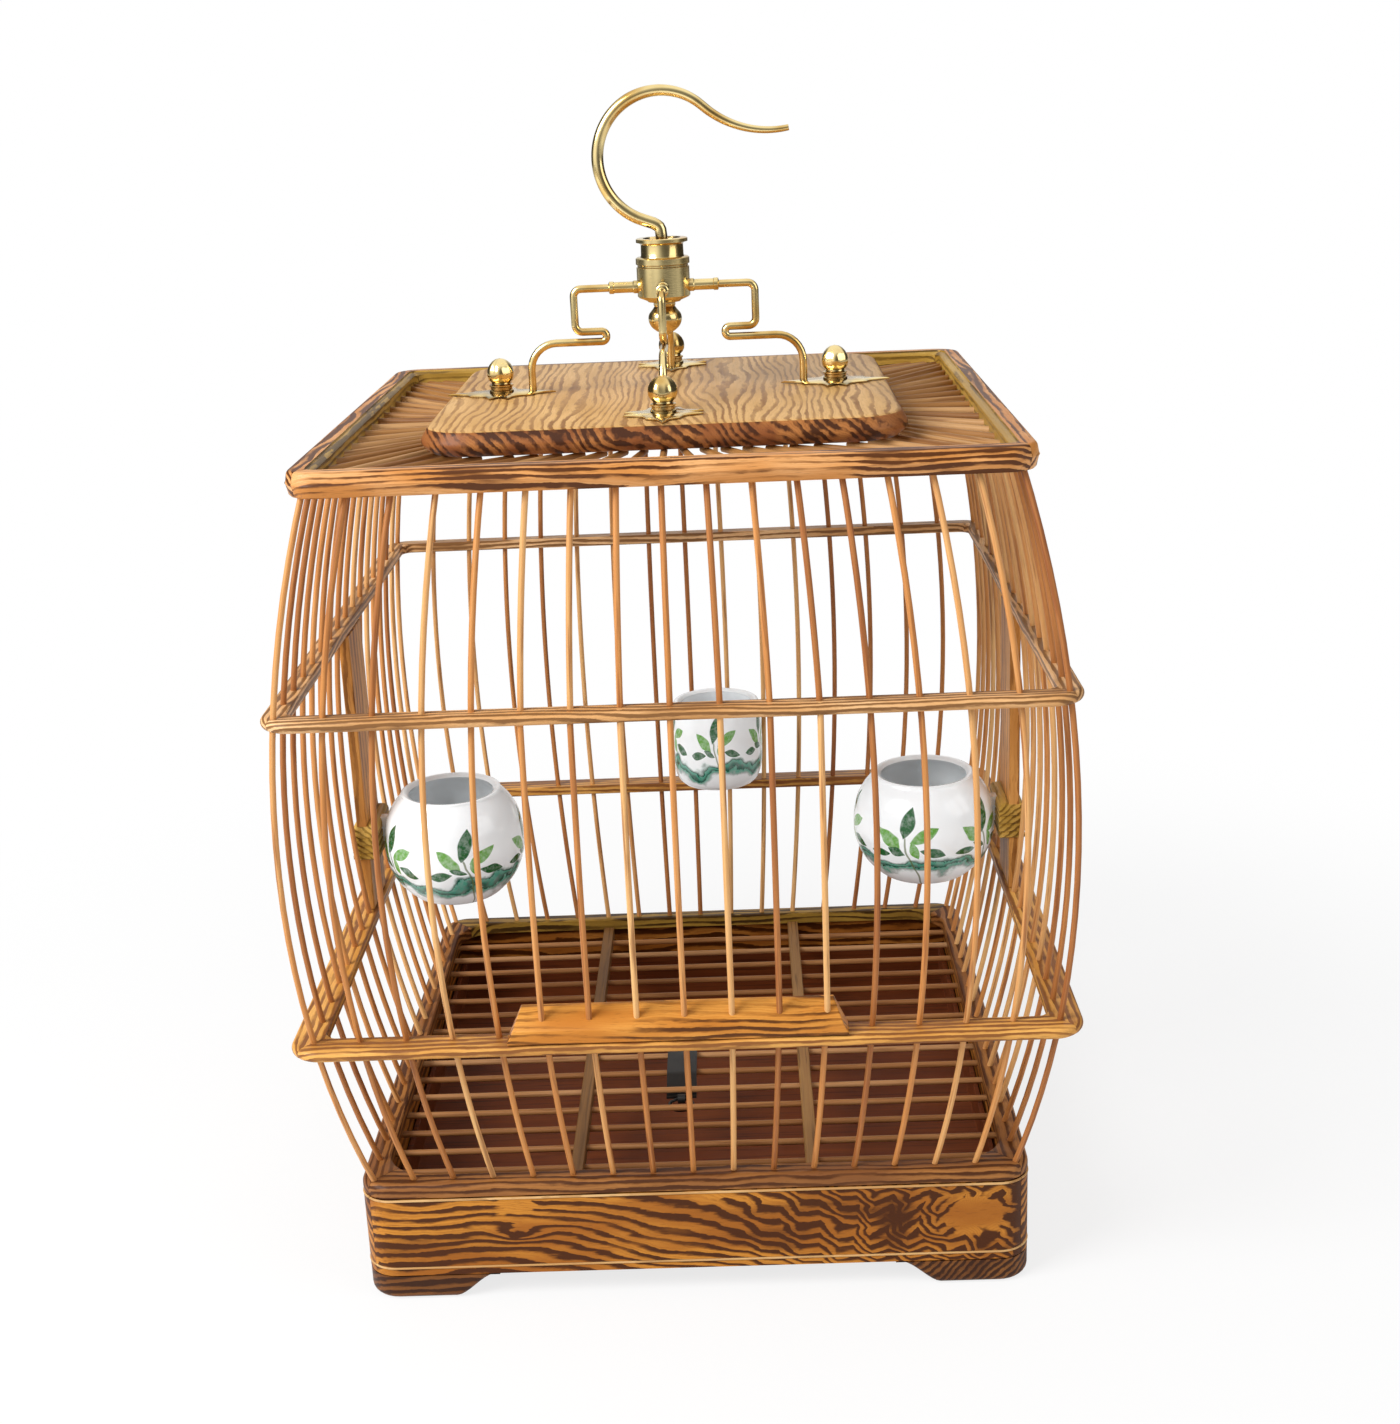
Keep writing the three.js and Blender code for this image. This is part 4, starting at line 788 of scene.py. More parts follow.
@dataclass(frozen=True)
class Metal(Finish):
    """Polished or blackened metal.

    Attributes:
        colour: The clean metal.
        tarnish: The toned metal.
        corners: Painted shade in its corners and hollows.
        metallic: How metallic it is.
    """

    colour: str = "fae2a2"
    tarnish: str = "cfa252"
    # Painted shade for the corners and hollows.
    corners: str = "5c3812"
    metallic: float = 1.0

    def mix(self, recipe: Recipe) -> None:
        """Adds the tarnish, painted shade in the corners and fine scratches."""
        coords = recipe.coords()
        cloud = recipe.noise(coords, 45.0, 3.0)
        scratch = recipe.noise(recipe.vector("MULTIPLY", coords, SCRATCHES))
        nearby = recipe.node("ShaderNodeAmbientOcclusion", {"samples": 8}, {"Distance": 0.008})
        open_air = Value(recipe, nearby.outputs["AO"])
        colour = recipe.mix(cloud.step(0.42, 0.75), ink(self.colour), ink(self.tarnish))
        # Painted shade: corners and hollows found by ambient occlusion are darkened, standing in
        # for dark reflections.
        painted_shade = (1.0 - open_air.step(0.25, 0.95)) * 0.85
        recipe.feed(recipe.shader, {
            "Base Color": recipe.mix(painted_shade, colour, ink(self.corners)),
            "Metallic": self.metallic,
            "Roughness": cloud * 0.12 + scratch * 0.1 + (self.rough - 0.11),
        })
        recipe.bump(scratch, 0.08, 0.0001)


@dataclass(frozen=True)
class Porcelain(Finish):
    """White glazed porcelain with brushed leaves above a green wash.

    Attributes:
        white: The glaze over the bare body.
        shade: The glaze where it is thicker.
        stem: The sprig's stem.
        pale_leaf: The paler leaves.
        deep_leaf: The deeper ones.
        deep_wash: The wash where the brush was full.
        pale_wash: The wash where it was dry.
        cells: How many times the sprig repeats round a cup.
        girth: Length round a cup, in millimetres.
    """

    white: str = "f8fcff"
    shade: str = "eaf0f0"
    stem: str = "5c6a3c"
    pale_leaf: str = "5c9c34"
    deep_leaf: str = "1a5a2c"
    deep_wash: str = "0e5242"
    pale_wash: str = "4f9c86"
    cells: int = 5
    girth: float = 200.0

    @staticmethod
    def leaf(around: Value, up: Value, place: tuple[float, float], turn: float,
             length: float) -> Value:
        """Returns a pointed leaf: 1 inside and 0 outside.

        Args:
            around: Distance round the cup, in millimetres.
            up: Height, in millimetres.
            place: The leaf's middle.
            turn: Its lean, in radians.
            length: Half of its length.

        Returns:
            The leaf.
        """
        beside, above = around - place[0], up - place[1]
        cos, sin = math.cos(turn), math.sin(turn)
        forth = (beside * cos + above * sin) / length
        width = (above * cos - beside * sin).maths("ABSOLUTE") / (length * 0.42)
        return (1.0 - forth * forth - width).step(0.0, 0.16)

    def mix(self, recipe: Recipe) -> None:
        """Adds the leaves, the stems, the wash, the glaze and a faint painted glow outside."""
        share, outside, up = recipe.parts(recipe.grain((1.0, 1.0, 1000.0)))
        brush = recipe.noise(recipe.coords(), 420.0, 3.0, 0.6)
        drift = recipe.noise(recipe.coords(), 55.0)
        cell = (share * self.cells).maths("FRACT") - 0.5
        around = cell * (self.girth / self.cells) + (drift - 0.5) * 5.0
        level = up + (drift - 0.5) * 6.0
        leaves = []
        for sprig in (PALE_LEAVES, DEEP_LEAVES):
            first, *others = [self.leaf(around, level, *leaf) for leaf in sprig]
            for other in others:
                first = first.maths("MAXIMUM", other)
            leaves.append(first)
        lean = (around + (level - 20.0) * 0.25).maths("ABSOLUTE")
        stem = (1.0 - lean.step(0.25, 0.7)) * (1.0 - level.step(28.0, 30.0))
        hills = up + (drift - 0.5) * 26.0 + brush * 3.0
        wash = (1.0 - hills.step(17.0, 20.0)) * (hills - drift * 3.0).step(7.0, 11.5)
        strokes = (hills * 0.28 + brush * 0.5).maths("FRACT").step(0.2, 0.8)
        colour = recipe.mix(drift * 0.5, ink(self.white), ink(self.shade))
        teal = recipe.mix(strokes, ink(self.deep_wash), ink(self.pale_wash))
        for strength, paint in (
            (wash * (brush * 0.5 + 0.7), teal),
            (stem * 0.8, ink(self.stem)),
            (leaves[0] * (brush * 0.9 + 0.45), ink(self.pale_leaf)),
            (leaves[1] * (brush * 0.9 + 0.5), ink(self.deep_leaf)),
        ):
            colour = recipe.mix(strength * outside, colour, paint)
        recipe.feed(recipe.shader, {
            "Base Color": colour,
            "Roughness": drift * 0.08 + self.rough,
            "Coat Weight": 0.5,
            # A faint glow is painted on the cup's outside, brightening it as light would.
            "Emission Color": recipe.mix(outside, ink("000000"), colour),
            "Emission Strength": 0.1,
        })
        recipe.bump(drift, 0.1, 0.0004)


SHOW_WOOD = ShowWood("front_board_wood", 0.4, "cc8830", "a05e1a", "421c00", pitch=5.2, warp=4.0,
                     cover=0.02, patchy=1.3)
BOARD_WOOD = FiguredWood("base_board_wood", 0.4, "c6843a", "985a20", "421c02", pitch=5.2,
                         warp=6.0, cover=0.04)
TOP_WOOD = FiguredWood("top_frame_wood", 0.4, "eab278", "ca8440", "50290f", pitch=3.2, warp=7.0,
                       cover=-0.24, patchy=3.8, patch=1.2, lined=0.8, ends=0.42)
UPPER_WOOD = FiguredWood("upper_rail_wood", 0.42, "f2c896", "d69e62", "7e5630", pitch=2.6,
                         cover=-0.12, patchy=1.8, ends=0.3)
LOWER_WOOD = FiguredWood("lower_rail_wood", 0.42, "ecb462", "d09244", "84522a", pitch=3.0,
                         warp=4.0, cover=-0.32, patchy=2.2, patch=1.4, lined=0.6, ends=0.5)
SILL_WOOD = FiguredWood("door_sill_wood", 0.4, "e2a04a", "c0782c", "502a0c", pitch=4.4, warp=7.0,
                        cover=-0.1, patchy=3.0, patch=1.2, lined=0.65)
RIM_WOOD = FiguredWood("brown_rim_wood", 0.45, "a87038", "80502a", "4a260c", pitch=3.4,
                       patchy=1.2)
DARK_WOOD = FiguredWood("dark_foot_wood", 0.42, "8e5a28", "6a3e1a", "361a08", pitch=3.6,
                        cover=0.1, patchy=1.0)
STRINGING = FiguredWood("pale_stringing", 0.45, "dcb47c", "c0925a", "8c6034", pitch=20.0,
                        warp=2.0, cover=-0.4, patchy=0.9)
ROOF_FACE = FiguredWood("roof_board_face", 0.45, "dcb074", "c6985a", "86592a", pitch=3.3,
                        warp=8.0, cover=-0.2, patchy=0.8)
ROOF_EDGE = FiguredWood("roof_board_edge", 0.42, "b4763e", "884e28", "40200c", pitch=4.6,
                        warp=8.0, cover=0.02, patchy=3.4, patch=1.6, lined=0.6)
OLIVE = FiguredWood("olive_bracket_wood", 0.45, "dcb25c", "b48c3a", "6a4a14", pitch=3.2,
                    warp=3.0, cover=-0.15, patchy=1.0)
LIP_WOOD = FiguredWood("olive_lip_wood", 0.42, "c49c48", "a07a30", "5e4414", pitch=3.0, warp=3.0,
                       cover=-0.2, patchy=1.4)
BACK_RIM = FiguredWood("back_rim_wood", 0.45, "b8923e", "8c6a2a", "3e280e", pitch=4.0,
                       cover=-0.05, patchy=1.8)
POST_WOOD = FiguredWood("post_wood", 0.45, "d89c54", "bc7c38", "7c4a1c", pitch=5.0, warp=4.0,
                        cover=-0.25, patchy=1.2)
CANE = CaneWood("cane_bars", 0.45)
SLAT_CANE = CaneWood("roof_slats", 0.5, "c49866", "a0703c", "70421a")
FLOOR_CANE = CaneWood("floor_rods", 0.5, "c89a6c", "a87444", "784a24")
RIB_WOOD = CaneWood("floor_ribs", 0.55, "b68c52", "906638", "583a1a")
MAROON = CaneWood("maroon_tray", 0.6, "96501e", "6c3210", "421c06")
BRASS = Metal("polished_brass", 0.16)
STEEL = Metal("blackened_steel", 0.42, "2a2826", "181614", "0a0a0a", metallic=0.4)
GLAZE = Porcelain("glazed_porcelain", 0.1)


class Paintbox:
    """Keeps each finish's material, so that it is made once."""

    def __init__(self) -> None:
        """Starts empty."""
        self.made: dict[str, bpy.types.Material] = {}

    def material(self, finish: Finish) -> bpy.types.Material:
        """Returns the material of a finish."""
        if finish.name not in self.made:
            self.made[finish.name] = finish.build()
        return self.made[finish.name]


# Sub-assemblies


def shown(name: str, data: Any) -> bpy.types.Object:
    """Puts data into the scene as an object."""
    made = bpy.data.objects.new(name, data)
    bpy.context.scene.collection.objects.link(made)
    return made


@dataclass
class Assembly:
    """A sub-assembly that makes its pieces and puts them on their bodies.

    Attributes:
        paints: The finishes' materials.
        body: The body that its pieces ride on, unless one says another.
    """

    paints: Paintbox
    body: Body = Body.CAGE

    def build(self) -> None:
        """Makes every piece."""
        raise NotImplementedError

    def place(self, name: str, shape: Shape, finishes: Finish | Sequence[Finish], slot: Slot,
              stands_for: str | Sequence[str], eased: float = 0.0, body: Body | None = None,
              crease: float = 38.0) -> None:
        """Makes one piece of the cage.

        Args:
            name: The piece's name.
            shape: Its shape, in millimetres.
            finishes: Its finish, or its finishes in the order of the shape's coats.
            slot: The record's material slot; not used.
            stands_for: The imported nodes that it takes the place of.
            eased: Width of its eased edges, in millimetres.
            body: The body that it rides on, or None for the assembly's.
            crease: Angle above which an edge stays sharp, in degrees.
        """
        mesh = bpy.data.meshes.new(name)
        mesh.from_pydata((shape.points * MM).tolist(), [], shape.faces)
        draft = bmesh.new()
        draft.from_mesh(mesh)
        bmesh.ops.recalc_face_normals(draft, faces=draft.faces)
        draft.to_mesh(mesh)
        draft.free()
        for word, kind, field, values in (("grain", "FLOAT_VECTOR", "vector", shape.grain * MM),
                                          ("tone", "FLOAT", "value", shape.tone)):
            mesh.attributes.new(word, kind, "POINT").data.foreach_set(field, values.ravel())
        for finish in [finishes] if isinstance(finishes, Finish) else finishes:
            mesh.materials.append(self.paints.material(finish))
        mesh.polygons.foreach_set("material_index", shape.coats)
        mesh.polygons.foreach_set("use_smooth", [True] * len(shape.faces))
        mesh.set_sharp_from_angle(angle=math.radians(crease))
        piece = shown(name, mesh)
        if eased:
            edges = piece.modifiers.new("eased_edges", "BEVEL")
            edges.width = eased * MM
            edges.segments = 2
            edges.limit_method = "ANGLE"
        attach(piece, (body or self.body).value)
        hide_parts(*([stands_for] if isinstance(stands_for, str) else stands_for))
        LOG.info("%s made, %d faces", name, len(shape.faces))


@dataclass
class Bars(Assembly):
    """The bars of the four sides, bellied along one arc.

    Attributes:
        spans: Straight lengths in a bar.
    """

    spans: int = 22

    def bar(self, side: int, number: int, low: float = BAR_LOW, high: float = BAR_HIGH) -> Shape:
        """Returns one bar on its side, with its own tone."""
        tone = random.Random(side * 100 + number * 7 + int(low)).random()
        share = 2 * number / (BARS_PER_SIDE - 1) - 1
        heights = np.linspace(low, high, self.spans + 1)
        line = [[share * BELLY.at(z), -BELLY.at(z), z] for z in heights]
        return tube(line, BAR_RADIUS).turned(side).toned(tone)

    def canes(self, name: str, bars: Sequence[Shape], nodes: str | Sequence[str]) -> None:
        """Makes one piece of some bars."""
        self.place(name, joined(bars), CANE, Slot.BAR, nodes)

    def build(self) -> None:
        """Makes the fixed bars."""
        last = BARS_PER_SIDE - 1
        middle = last // 2
        first_door = middle - (DOOR_BARS - 1) // 2
        for side, hands in ((Side.FRONT, ("left", "right")), (Side.BACK, ("right", "left"))):
            for number, hand in zip((0, last), hands):
                self.canes(f"{side.word}_{hand}_corner_cane", [self.bar(side, number)],
                           f"corner_bar_{side.word}_{hand}")
        for number in range(1, first_door):
            for hand, place in (("left", number), ("right", last - number)):
                self.canes(f"front_{hand}_cane_{number}", [self.bar(Side.FRONT, place)],
                           f"front_bar_{hand}_{number}")
        door = range(first_door, first_door + DOOR_BARS)
        above = [self.bar(Side.FRONT, n, low=UPPER_LEVEL) for n in door]
        below = [self.bar(Side.FRONT, n, high=LOWER_LEVEL) for n in door]
        self.canes("canes_above_door", above, "upper_rail_front")
        self.canes("canes_below_door", below, "lower_rail_front")
        for side in (Side.RIGHT, Side.BACK, Side.LEFT):
            whole = [n for n in range(1, last) if side is Side.BACK or n != middle]
            bars = [self.bar(side, n) for n in whole]
            nodes = [f"upper_rail_{side.word}"]
            if side is not Side.BACK:
                bars.append(self.bar(side, middle, high=LOWER_LEVEL))
                bars.append(self.bar(side, middle, low=UPPER_LEVEL))
                nodes.append(f"lower_rail_{side.word}")
            self.canes(f"{side.word}_canes", bars, nodes)


@dataclass
class Frames(Assembly):
    """The mitred frames: top frame, two rails, rim and base boards."""

    @staticmethod
    def rail(level: float, outside: float, inside: float) -> list[tuple[float, float]]:
        """Returns a rail's section about a level, half round outside."""
        outer, inner = BELLY.at(level) + outside, BELLY.at(level) - inside
        low, high, nose, chamfer = level - RAIL_HALF, level + RAIL_HALF, 2.3, 0.5
        return [
            (inner, low + chamfer), (inner + chamfer, low),
            *arc((outer - nose, level), (nose, RAIL_HALF), -90, 90, 8),
            (inner + chamfer, high), (inner, high - chamfer),
        ]

    @staticmethod
    def top_section() -> list[tuple[float, float]]:
        """Returns the top frame's section, with a fine arris along its face."""
        outer, inner = BELLY.at(TOP_LEVEL) + 7.2, BELLY.at(TOP_LEVEL) - 4.5
        low, high = TOP_LEVEL, TOP_LEVEL + 10.5
        return [
            (inner, low + 0.8), (inner + 0.8, low), (outer - 2.0, low), (outer - 1.2, low + 0.8),
            (outer - 0.35, low + 4.6), (outer, low + 5.25), (outer - 0.35, low + 5.9),
            *arc((outer - 2.9, high - 2.4), (2.1, 2.4), 10, 90, 5),
            (inner + 3.4, high), (inner + 3.0, high - 0.7), (inner + 1.2, high - 0.7),
            (inner, high - 1.8),
        ]

    @staticmethod
    def on_lip(corners: np.ndarray) -> int:
        """Says whether a face of the top frame lies on its inner lip."""
        return int(np.abs(corners[:, :2]).max() < BELLY.at(TOP_LEVEL) - 1.0)

    @staticmethod
    def rim_section() -> list[tuple[float, float]]:
        """Returns the rim's section, rounded along its upper edge."""
        outer, inner, round_over = BASE_HALF, BELLY.at(RIM_TOP) - 4.1, 3.2
        centre = (outer - round_over, RIM_TOP - round_over)
        return [
            (inner, BOARD_TOP + 0.3), (inner + 0.5, BOARD_TOP),
            (outer - 0.5, BOARD_TOP), (outer, BOARD_TOP + 0.4),
            *arc(centre, (round_over, round_over), 0, 90),
            (inner + 0.6, RIM_TOP), (inner, RIM_TOP - 0.6),
        ]

    @staticmethod
    def board_section() -> list[tuple[float, float]]:
        """Returns a base board's section, with two fine beads."""
        outer, top = BASE_HALF, BOARD_TOP - 0.3
        root = outer - 0.3
        section = [(BASE_INSIDE, FOOT_TOP), (root, FOOT_TOP), (outer, FOOT_TOP + 0.3)]
        for level in BEAD_LEVELS:
            section += [(outer, level - 0.75), (root, level - 0.6)]
            section += arc((root, level), (0.6, 0.55), -80, 80)
            section += [(root, level + 0.6), (outer, level + 0.75)]
        return section[:-1] + [(BASE_INSIDE, top)]

    @staticmethod
    def on_bead(corners: np.ndarray) -> int:
        """Says whether a face of a base board lies on a bead."""
        height = corners[:, 2]
        near = any(abs(height - level).max() < 0.65 for level in BEAD_LEVELS)
        return int(near and np.abs(corners[:, :2]).max() > 100)

    def build(self) -> None:
        """Makes the members of every frame and the boards."""
        upper = self.rail(UPPER_LEVEL, outside=6.5, inside=4.0)
        lower = self.rail(LOWER_LEVEL, outside=10.6, inside=3.5)
        frames = [
            ("top_member", self.top_section(), 6.0, "top_frame", TOP_WOOD, Slot.WOOD),
            ("upper_rail_member", upper, 6.0, "upper_rail", UPPER_WOOD, Slot.WOOD),
            ("lower_rail_member", lower, 6.0, "lower_rail", LOWER_WOOD, Slot.WOOD),
            ("rim_member", self.rim_section(), 20.0, "base_rim", RIM_WOOD, Slot.DARK),
        ]
        for number, (name, profile, inner, node, finish, slot) in enumerate(frames):
            for side in Side:
                tone = (number * 4 + side + 1) / 17
                shape = member(profile, BASE_CORNER, inner).toned(tone).turned(side)
                woods = [BACK_RIM if finish is RIM_WOOD and side is Side.BACK else finish]
                if finish is TOP_WOOD:
                    shape, woods = shape.coated(self.on_lip), [TOP_WOOD, LIP_WOOD]
                self.place(f"{side.word}_{name}", shape, woods, slot, f"{node}_{side.word}")
        for side in Side:
            shape = member(self.board_section(), BASE_CORNER, 0.6).coated(self.on_bead)
            shape = shape.toned(side / 5).turned(side)
            woods = [SHOW_WOOD if side is Side.FRONT else BOARD_WOOD, STRINGING]
            if side is Side.BACK:
                self.place("tray_front_board", shape, woods, Slot.WOOD, "tray_face", body=Body.TRAY)
            else:
                self.place(f"{side.word}_side_board", shape, woods, Slot.WOOD,
                           f"base_board_{side.word}")
        for side in (Side.LEFT, Side.RIGHT):
            ledge = block((-132, -144, FOOT_TOP), (132, -132.4, FOOT_TOP + 2.8))
            self.place(f"{side.word}_tray_runner", ledge.toned(0.3).turned(side), OLIVE, Slot.WOOD,
                       f"base_board_{side.word}", eased=0.4)


@dataclass
class Feet(Assembly):
    """The four corner feet with their ogee ends.

    Attributes:
        thick: Thickness of a foot.
        flat: Where its flat bottom ends, from the middle.
        end: Where its ogee ends.
    """

    thick: float = 9.0
    flat: float = 108.4
    end: float = 88.4

    def ogee(self, place: float) -> float:
        """Returns the height of the underside at a distance from the middle."""
        run = min(max((self.flat - place) / (self.flat - self.end), 0.0), 1.0)
        return (FOOT_TOP - 0.8) * (0.5 - 0.5 * math.cos(math.pi * run**0.85))

    def station(self, point: Point, outward: Point, underside: float) -> list[list[float]]:
        """Returns the section of a foot at a place on its outer line."""
        top, toe = FOOT_TOP - 0.3, 3.4
        low = min(underside, top - 0.4)
        curve = [(-4.0, low), *arc((-toe, low + toe), (toe, toe), -70, 0, 4)]
        curve = [(out, min(height, top)) for out, height in curve]
        section = [(-self.thick, low), *curve, (0.0, top), (-self.thick, top)]
        return [[point[0] + outward[0] * out, point[1] + outward[1] * out, height]
                for out, height in section]

    def build(self) -> None:
        """Makes the feet."""
        centre = BASE_HALF - BASE_CORNER
        runs = np.concatenate([np.linspace(self.end, self.flat, 12), [centre]])
        for turns, place in enumerate(("front_left", "front_right", "back_right", "back_left")):
            loops = [self.station((-x, -BASE_HALF), (0, -1), self.ogee(x)) for x in runs]
            for turn in np.linspace(0, HALF_PI, 9)[1:-1]:
                outward = (-math.sin(turn), -math.cos(turn))
                point = [BASE_CORNER * share - centre for share in outward]
                loops.append(self.station(point, outward, 0.0))
            loops += [self.station((-BASE_HALF, -y), (-1, 0), self.ogee(y)) for y in runs[::-1]]
            shape = loft(np.array(loops)).toned((turns + 1) / 6).turned(turns)
            self.place(f"{place}_carved_foot", shape, DARK_WOOD, Slot.DARK, f"foot_{place}")


@dataclass
class LiftDoor(Assembly):
    """The lift door: a moulded sill and bars outside the fixed ones.

    Attributes:
        outset: How far its bars stand outside the fixed ones.
        low: Underside of the sill.
        high: Top of the sill.
        lip: Height of the sill's front face.
        half: Half of the sill's length.
        shift: How far the sill's middle is off the cage's.
        before: How far the sill stands in front of its bars.
        behind: How far it reaches behind them.
    """

    body: Body = Body.DOOR
    outset: float = 3.4
    low: float = 134.1
    high: float = 147.1
    lip: float = 5.6
    half: float = 72.0
    shift: float = -3.0
    before: float = 4.6
    behind: float = 8.2

    def end(self, height: float) -> float:
        """Returns half of the sill's length at a height."""
        rise, slope = height - self.low, self.high - self.low - self.lip
        face, top = min(rise / self.lip, 1.0), max((rise - self.lip) / slope, 0.0)
        return self.half - 2.5 * face - 3.5 * top

    def build(self) -> None:
        """Makes the sill and the door's bars."""
        line = -BELLY.at(self.high, self.outset)
        front, back, low, high = line - self.before, line + self.behind, self.low, self.high
        profile = [
            (front + 0.5, low), (back, low), (back, high), (line + 5.2, high),
            (line + 4.2, high - 0.35), (front + 0.5, low + 6.6), (front, low + 5.4),
            (front, low + 0.6),
        ]
        loops = [[[hand * self.end(z) + self.shift, y, z] for y, z in profile] for hand in (-1, 1)]
        self.place("door_sill", loft(np.array(loops)), SILL_WOOD, Slot.WOOD, "door", eased=0.35)
        pitch = 2 * BELLY.at(UPPER_LEVEL) / (BARS_PER_SIDE - 1)
        heights = np.linspace(high - 4, UPPER_LEVEL + RAIL_HALF, 20)
        shapes = []
        for number in range(DOOR_BARS):
            x = (number - (DOOR_BARS - 1) / 2) * pitch
            path = [[x, -BELLY.at(z, self.outset), z] for z in heights]
            tone = random.Random(number + 50).random()
            shapes.append(tube(path, BAR_RADIUS).toned(tone))
        self.place("door_canes", joined(shapes), CANE, Slot.BAR, "door")


@dataclass
class FloorAndTray(Assembly):
    """The grille of rods and ribs, and the sliding dirt tray under it.

    Attributes:
        rods: How many rods the grille has.
        rod_radius: Radius of a rod.
        level: Height of the rods.
        rib_reach: Where the two ribs stand.
        rib_half: Half of a rib's width.
        wall: Thickness of the pan.
    """

    rods: int = 15
    rod_radius: float = 1.5
    level: float = 49.2
    rib_reach: float = 53.0
    rib_half: float = 2.9
    wall: float = 2.4

    def build(self) -> None:
        """Makes the rods, the ribs, the pan and its knob."""
        pitch = 2 * BASE_INSIDE / (self.rods + 1)
        reach = BASE_INSIDE - 0.3
        shapes = []
        for row in range(self.rods):
            y = pitch * (row + 1) - BASE_INSIDE
            path = [[x, y, self.level] for x in np.linspace(-reach, reach, 6)]
            tone = random.Random(row + 80).random()
            shapes.append(tube(path, self.rod_radius, up=(0, 0, 1)).toned(tone))
        self.place("floor_rods", joined(shapes), FLOOR_CANE, Slot.GRILLE, "floor_grille")
        half = BELLY.at(RIM_TOP) - 4.4
        for hand, name in ((-1, "left"), (1, "right")):
            x = hand * self.rib_reach
            rib = block((x - self.rib_half, -half, self.level - 3.2),
                        (x + self.rib_half, half, self.level + 3.4))
            self.place(f"{name}_floor_rib", rib.grained((1, 0, 2)).toned(0.4 + 0.2 * hand),
                       RIB_WOOD, Slot.GRILLE, "floor_grille", eased=0.5)
        self.build_pan()
        self.build_knob()

    def build_pan(self) -> None:
        """Makes the pan between the base boards."""
        half, end, low, high = BASE_INSIDE - 0.7, BASE_INSIDE - 0.3, 15.1, 33.1
        loops = []
        for inset, height in ((0, low), (0, high), (self.wall, high), (self.wall, low + self.wall)):
            side, back = half - inset, end - inset
            loops.append([[-side, -side, height], [side, -side, height], [side, back, height],
                          [-side, back, height]])
        self.place("dirt_pan", loft(np.array(loops)), MAROON, Slot.TRAY, "tray_pan", eased=0.4,
                   body=Body.TRAY)

    def build_knob(self) -> None:
        """Makes the knob behind."""
        soft = smooth_line([(3.0, 0.0), (2.7, 2.0), (3.2, 4.2), (5.4, 5.8), (6.0, 7.4), (5.3, 9.6),
                            (2.8, 11.4)], 4)
        profile = [(0.0, -5.0), (1.6, -5.0), (1.6, 0.0), *map(tuple, soft), (0.0, 12.0)]
        knob = lathe(profile, 32)
        knob.points = knob.points[:, [0, 2, 1]] * np.array([1, 1, -1])
        self.place("tray_pull_knob", knob.moved((0, BASE_HALF + 0.3, 31.5)), BRASS, Slot.BRASS,
                   "tray_knob", body=Body.TRAY)


@dataclass
class Roof(Assembly):
    """The moulded roof board and the slats that fan to it.

    Attributes:
        half: Half width of the board.
        corner: Radius of its corners.
        low: Underside of the board.
        slats: Evenly spread slats on each side.
        slat_level: Height of the slats.
        slat_radius: Radius of a slat.
        overlap: How far a slat runs on under the board.
    """

    half: float = 103.45
    corner: float = 24.0
    low: float = 371.0
    slats: int = 15
    slat_level: float = 369.2
    slat_radius: float = 1.5
    overlap: float = 14.0

    def board(self) -> Shape:
        """Returns the board, with its face and its moulded edge."""
        edge = [(-5.1, 0.0), (-3.9, 0.3), (-2.9, 1.2), (-1.7, 2.2), (-0.6, 3.4), (-0.1, 4.6),
                (-0.3, 5.8), (-0.9, 7.0), (-1.7, 8.2), (-2.4, 9.4), (-3.1, 10.4), (-4.3, 11.0)]
        loops = [[[x, y, self.low + rise]
                  for x, y in rounded_square(self.half + out, self.corner + out)]
                 for out, rise in edge]
        edge_top = self.low + 10.4
        board = loft(np.array(loops)).coated(lambda corners: int(corners[:, 2].min() < edge_top))
        return board.grained((1, 0, 2))

    def slat_ends(self) -> list[tuple[float, float, float, float]]:
        """Returns the outer and inner end of each slat of the front."""
        reach, half = BELLY.at(TOP_LEVEL), self.half
        start = reach - 3.0
        shares = [2 * number / (self.slats - 1) - 1 for number in range(self.slats)]
        ends = [(share * 0.871 * reach, -start, share * 0.72 * half, -half) for share in shares]
        for hand in (-1, 1):
            ends.append((hand * 0.926 * reach, -start, hand * 0.848 * half, -0.985 * half))
        ends.append((0.955 * reach, -0.955 * reach, 0.932 * half, -0.932 * half))
        return ends

    def build(self) -> None:
        """Makes the board and the slats."""
        self.place("moulded_roof_board", self.board(), [ROOF_FACE, ROOF_EDGE], Slot.ROOF,
                   "roof_board", crease=50)
        for side in Side:
            shapes = []
            for number, (out_x, out_y, in_x, in_y) in enumerate(self.slat_ends()):
                outer = np.array([out_x, out_y, self.slat_level])
                run = np.array([in_x, in_y, self.slat_level]) - outer
                past = 1 + self.overlap / np.linalg.norm(run)
                path = outer + run * np.linspace(0, past, 5)[:, None]
                tone = random.Random(int(side) * 40 + number + 200).random()
                shapes.append(tube(path, self.slat_radius, 10, up=(0, 0, 1)).toned(tone))
            self.place(f"{side.word}_roof_slats", joined(shapes).turned(side), SLAT_CANE, Slot.WOOD,
                       f"top_frame_{side.word}")


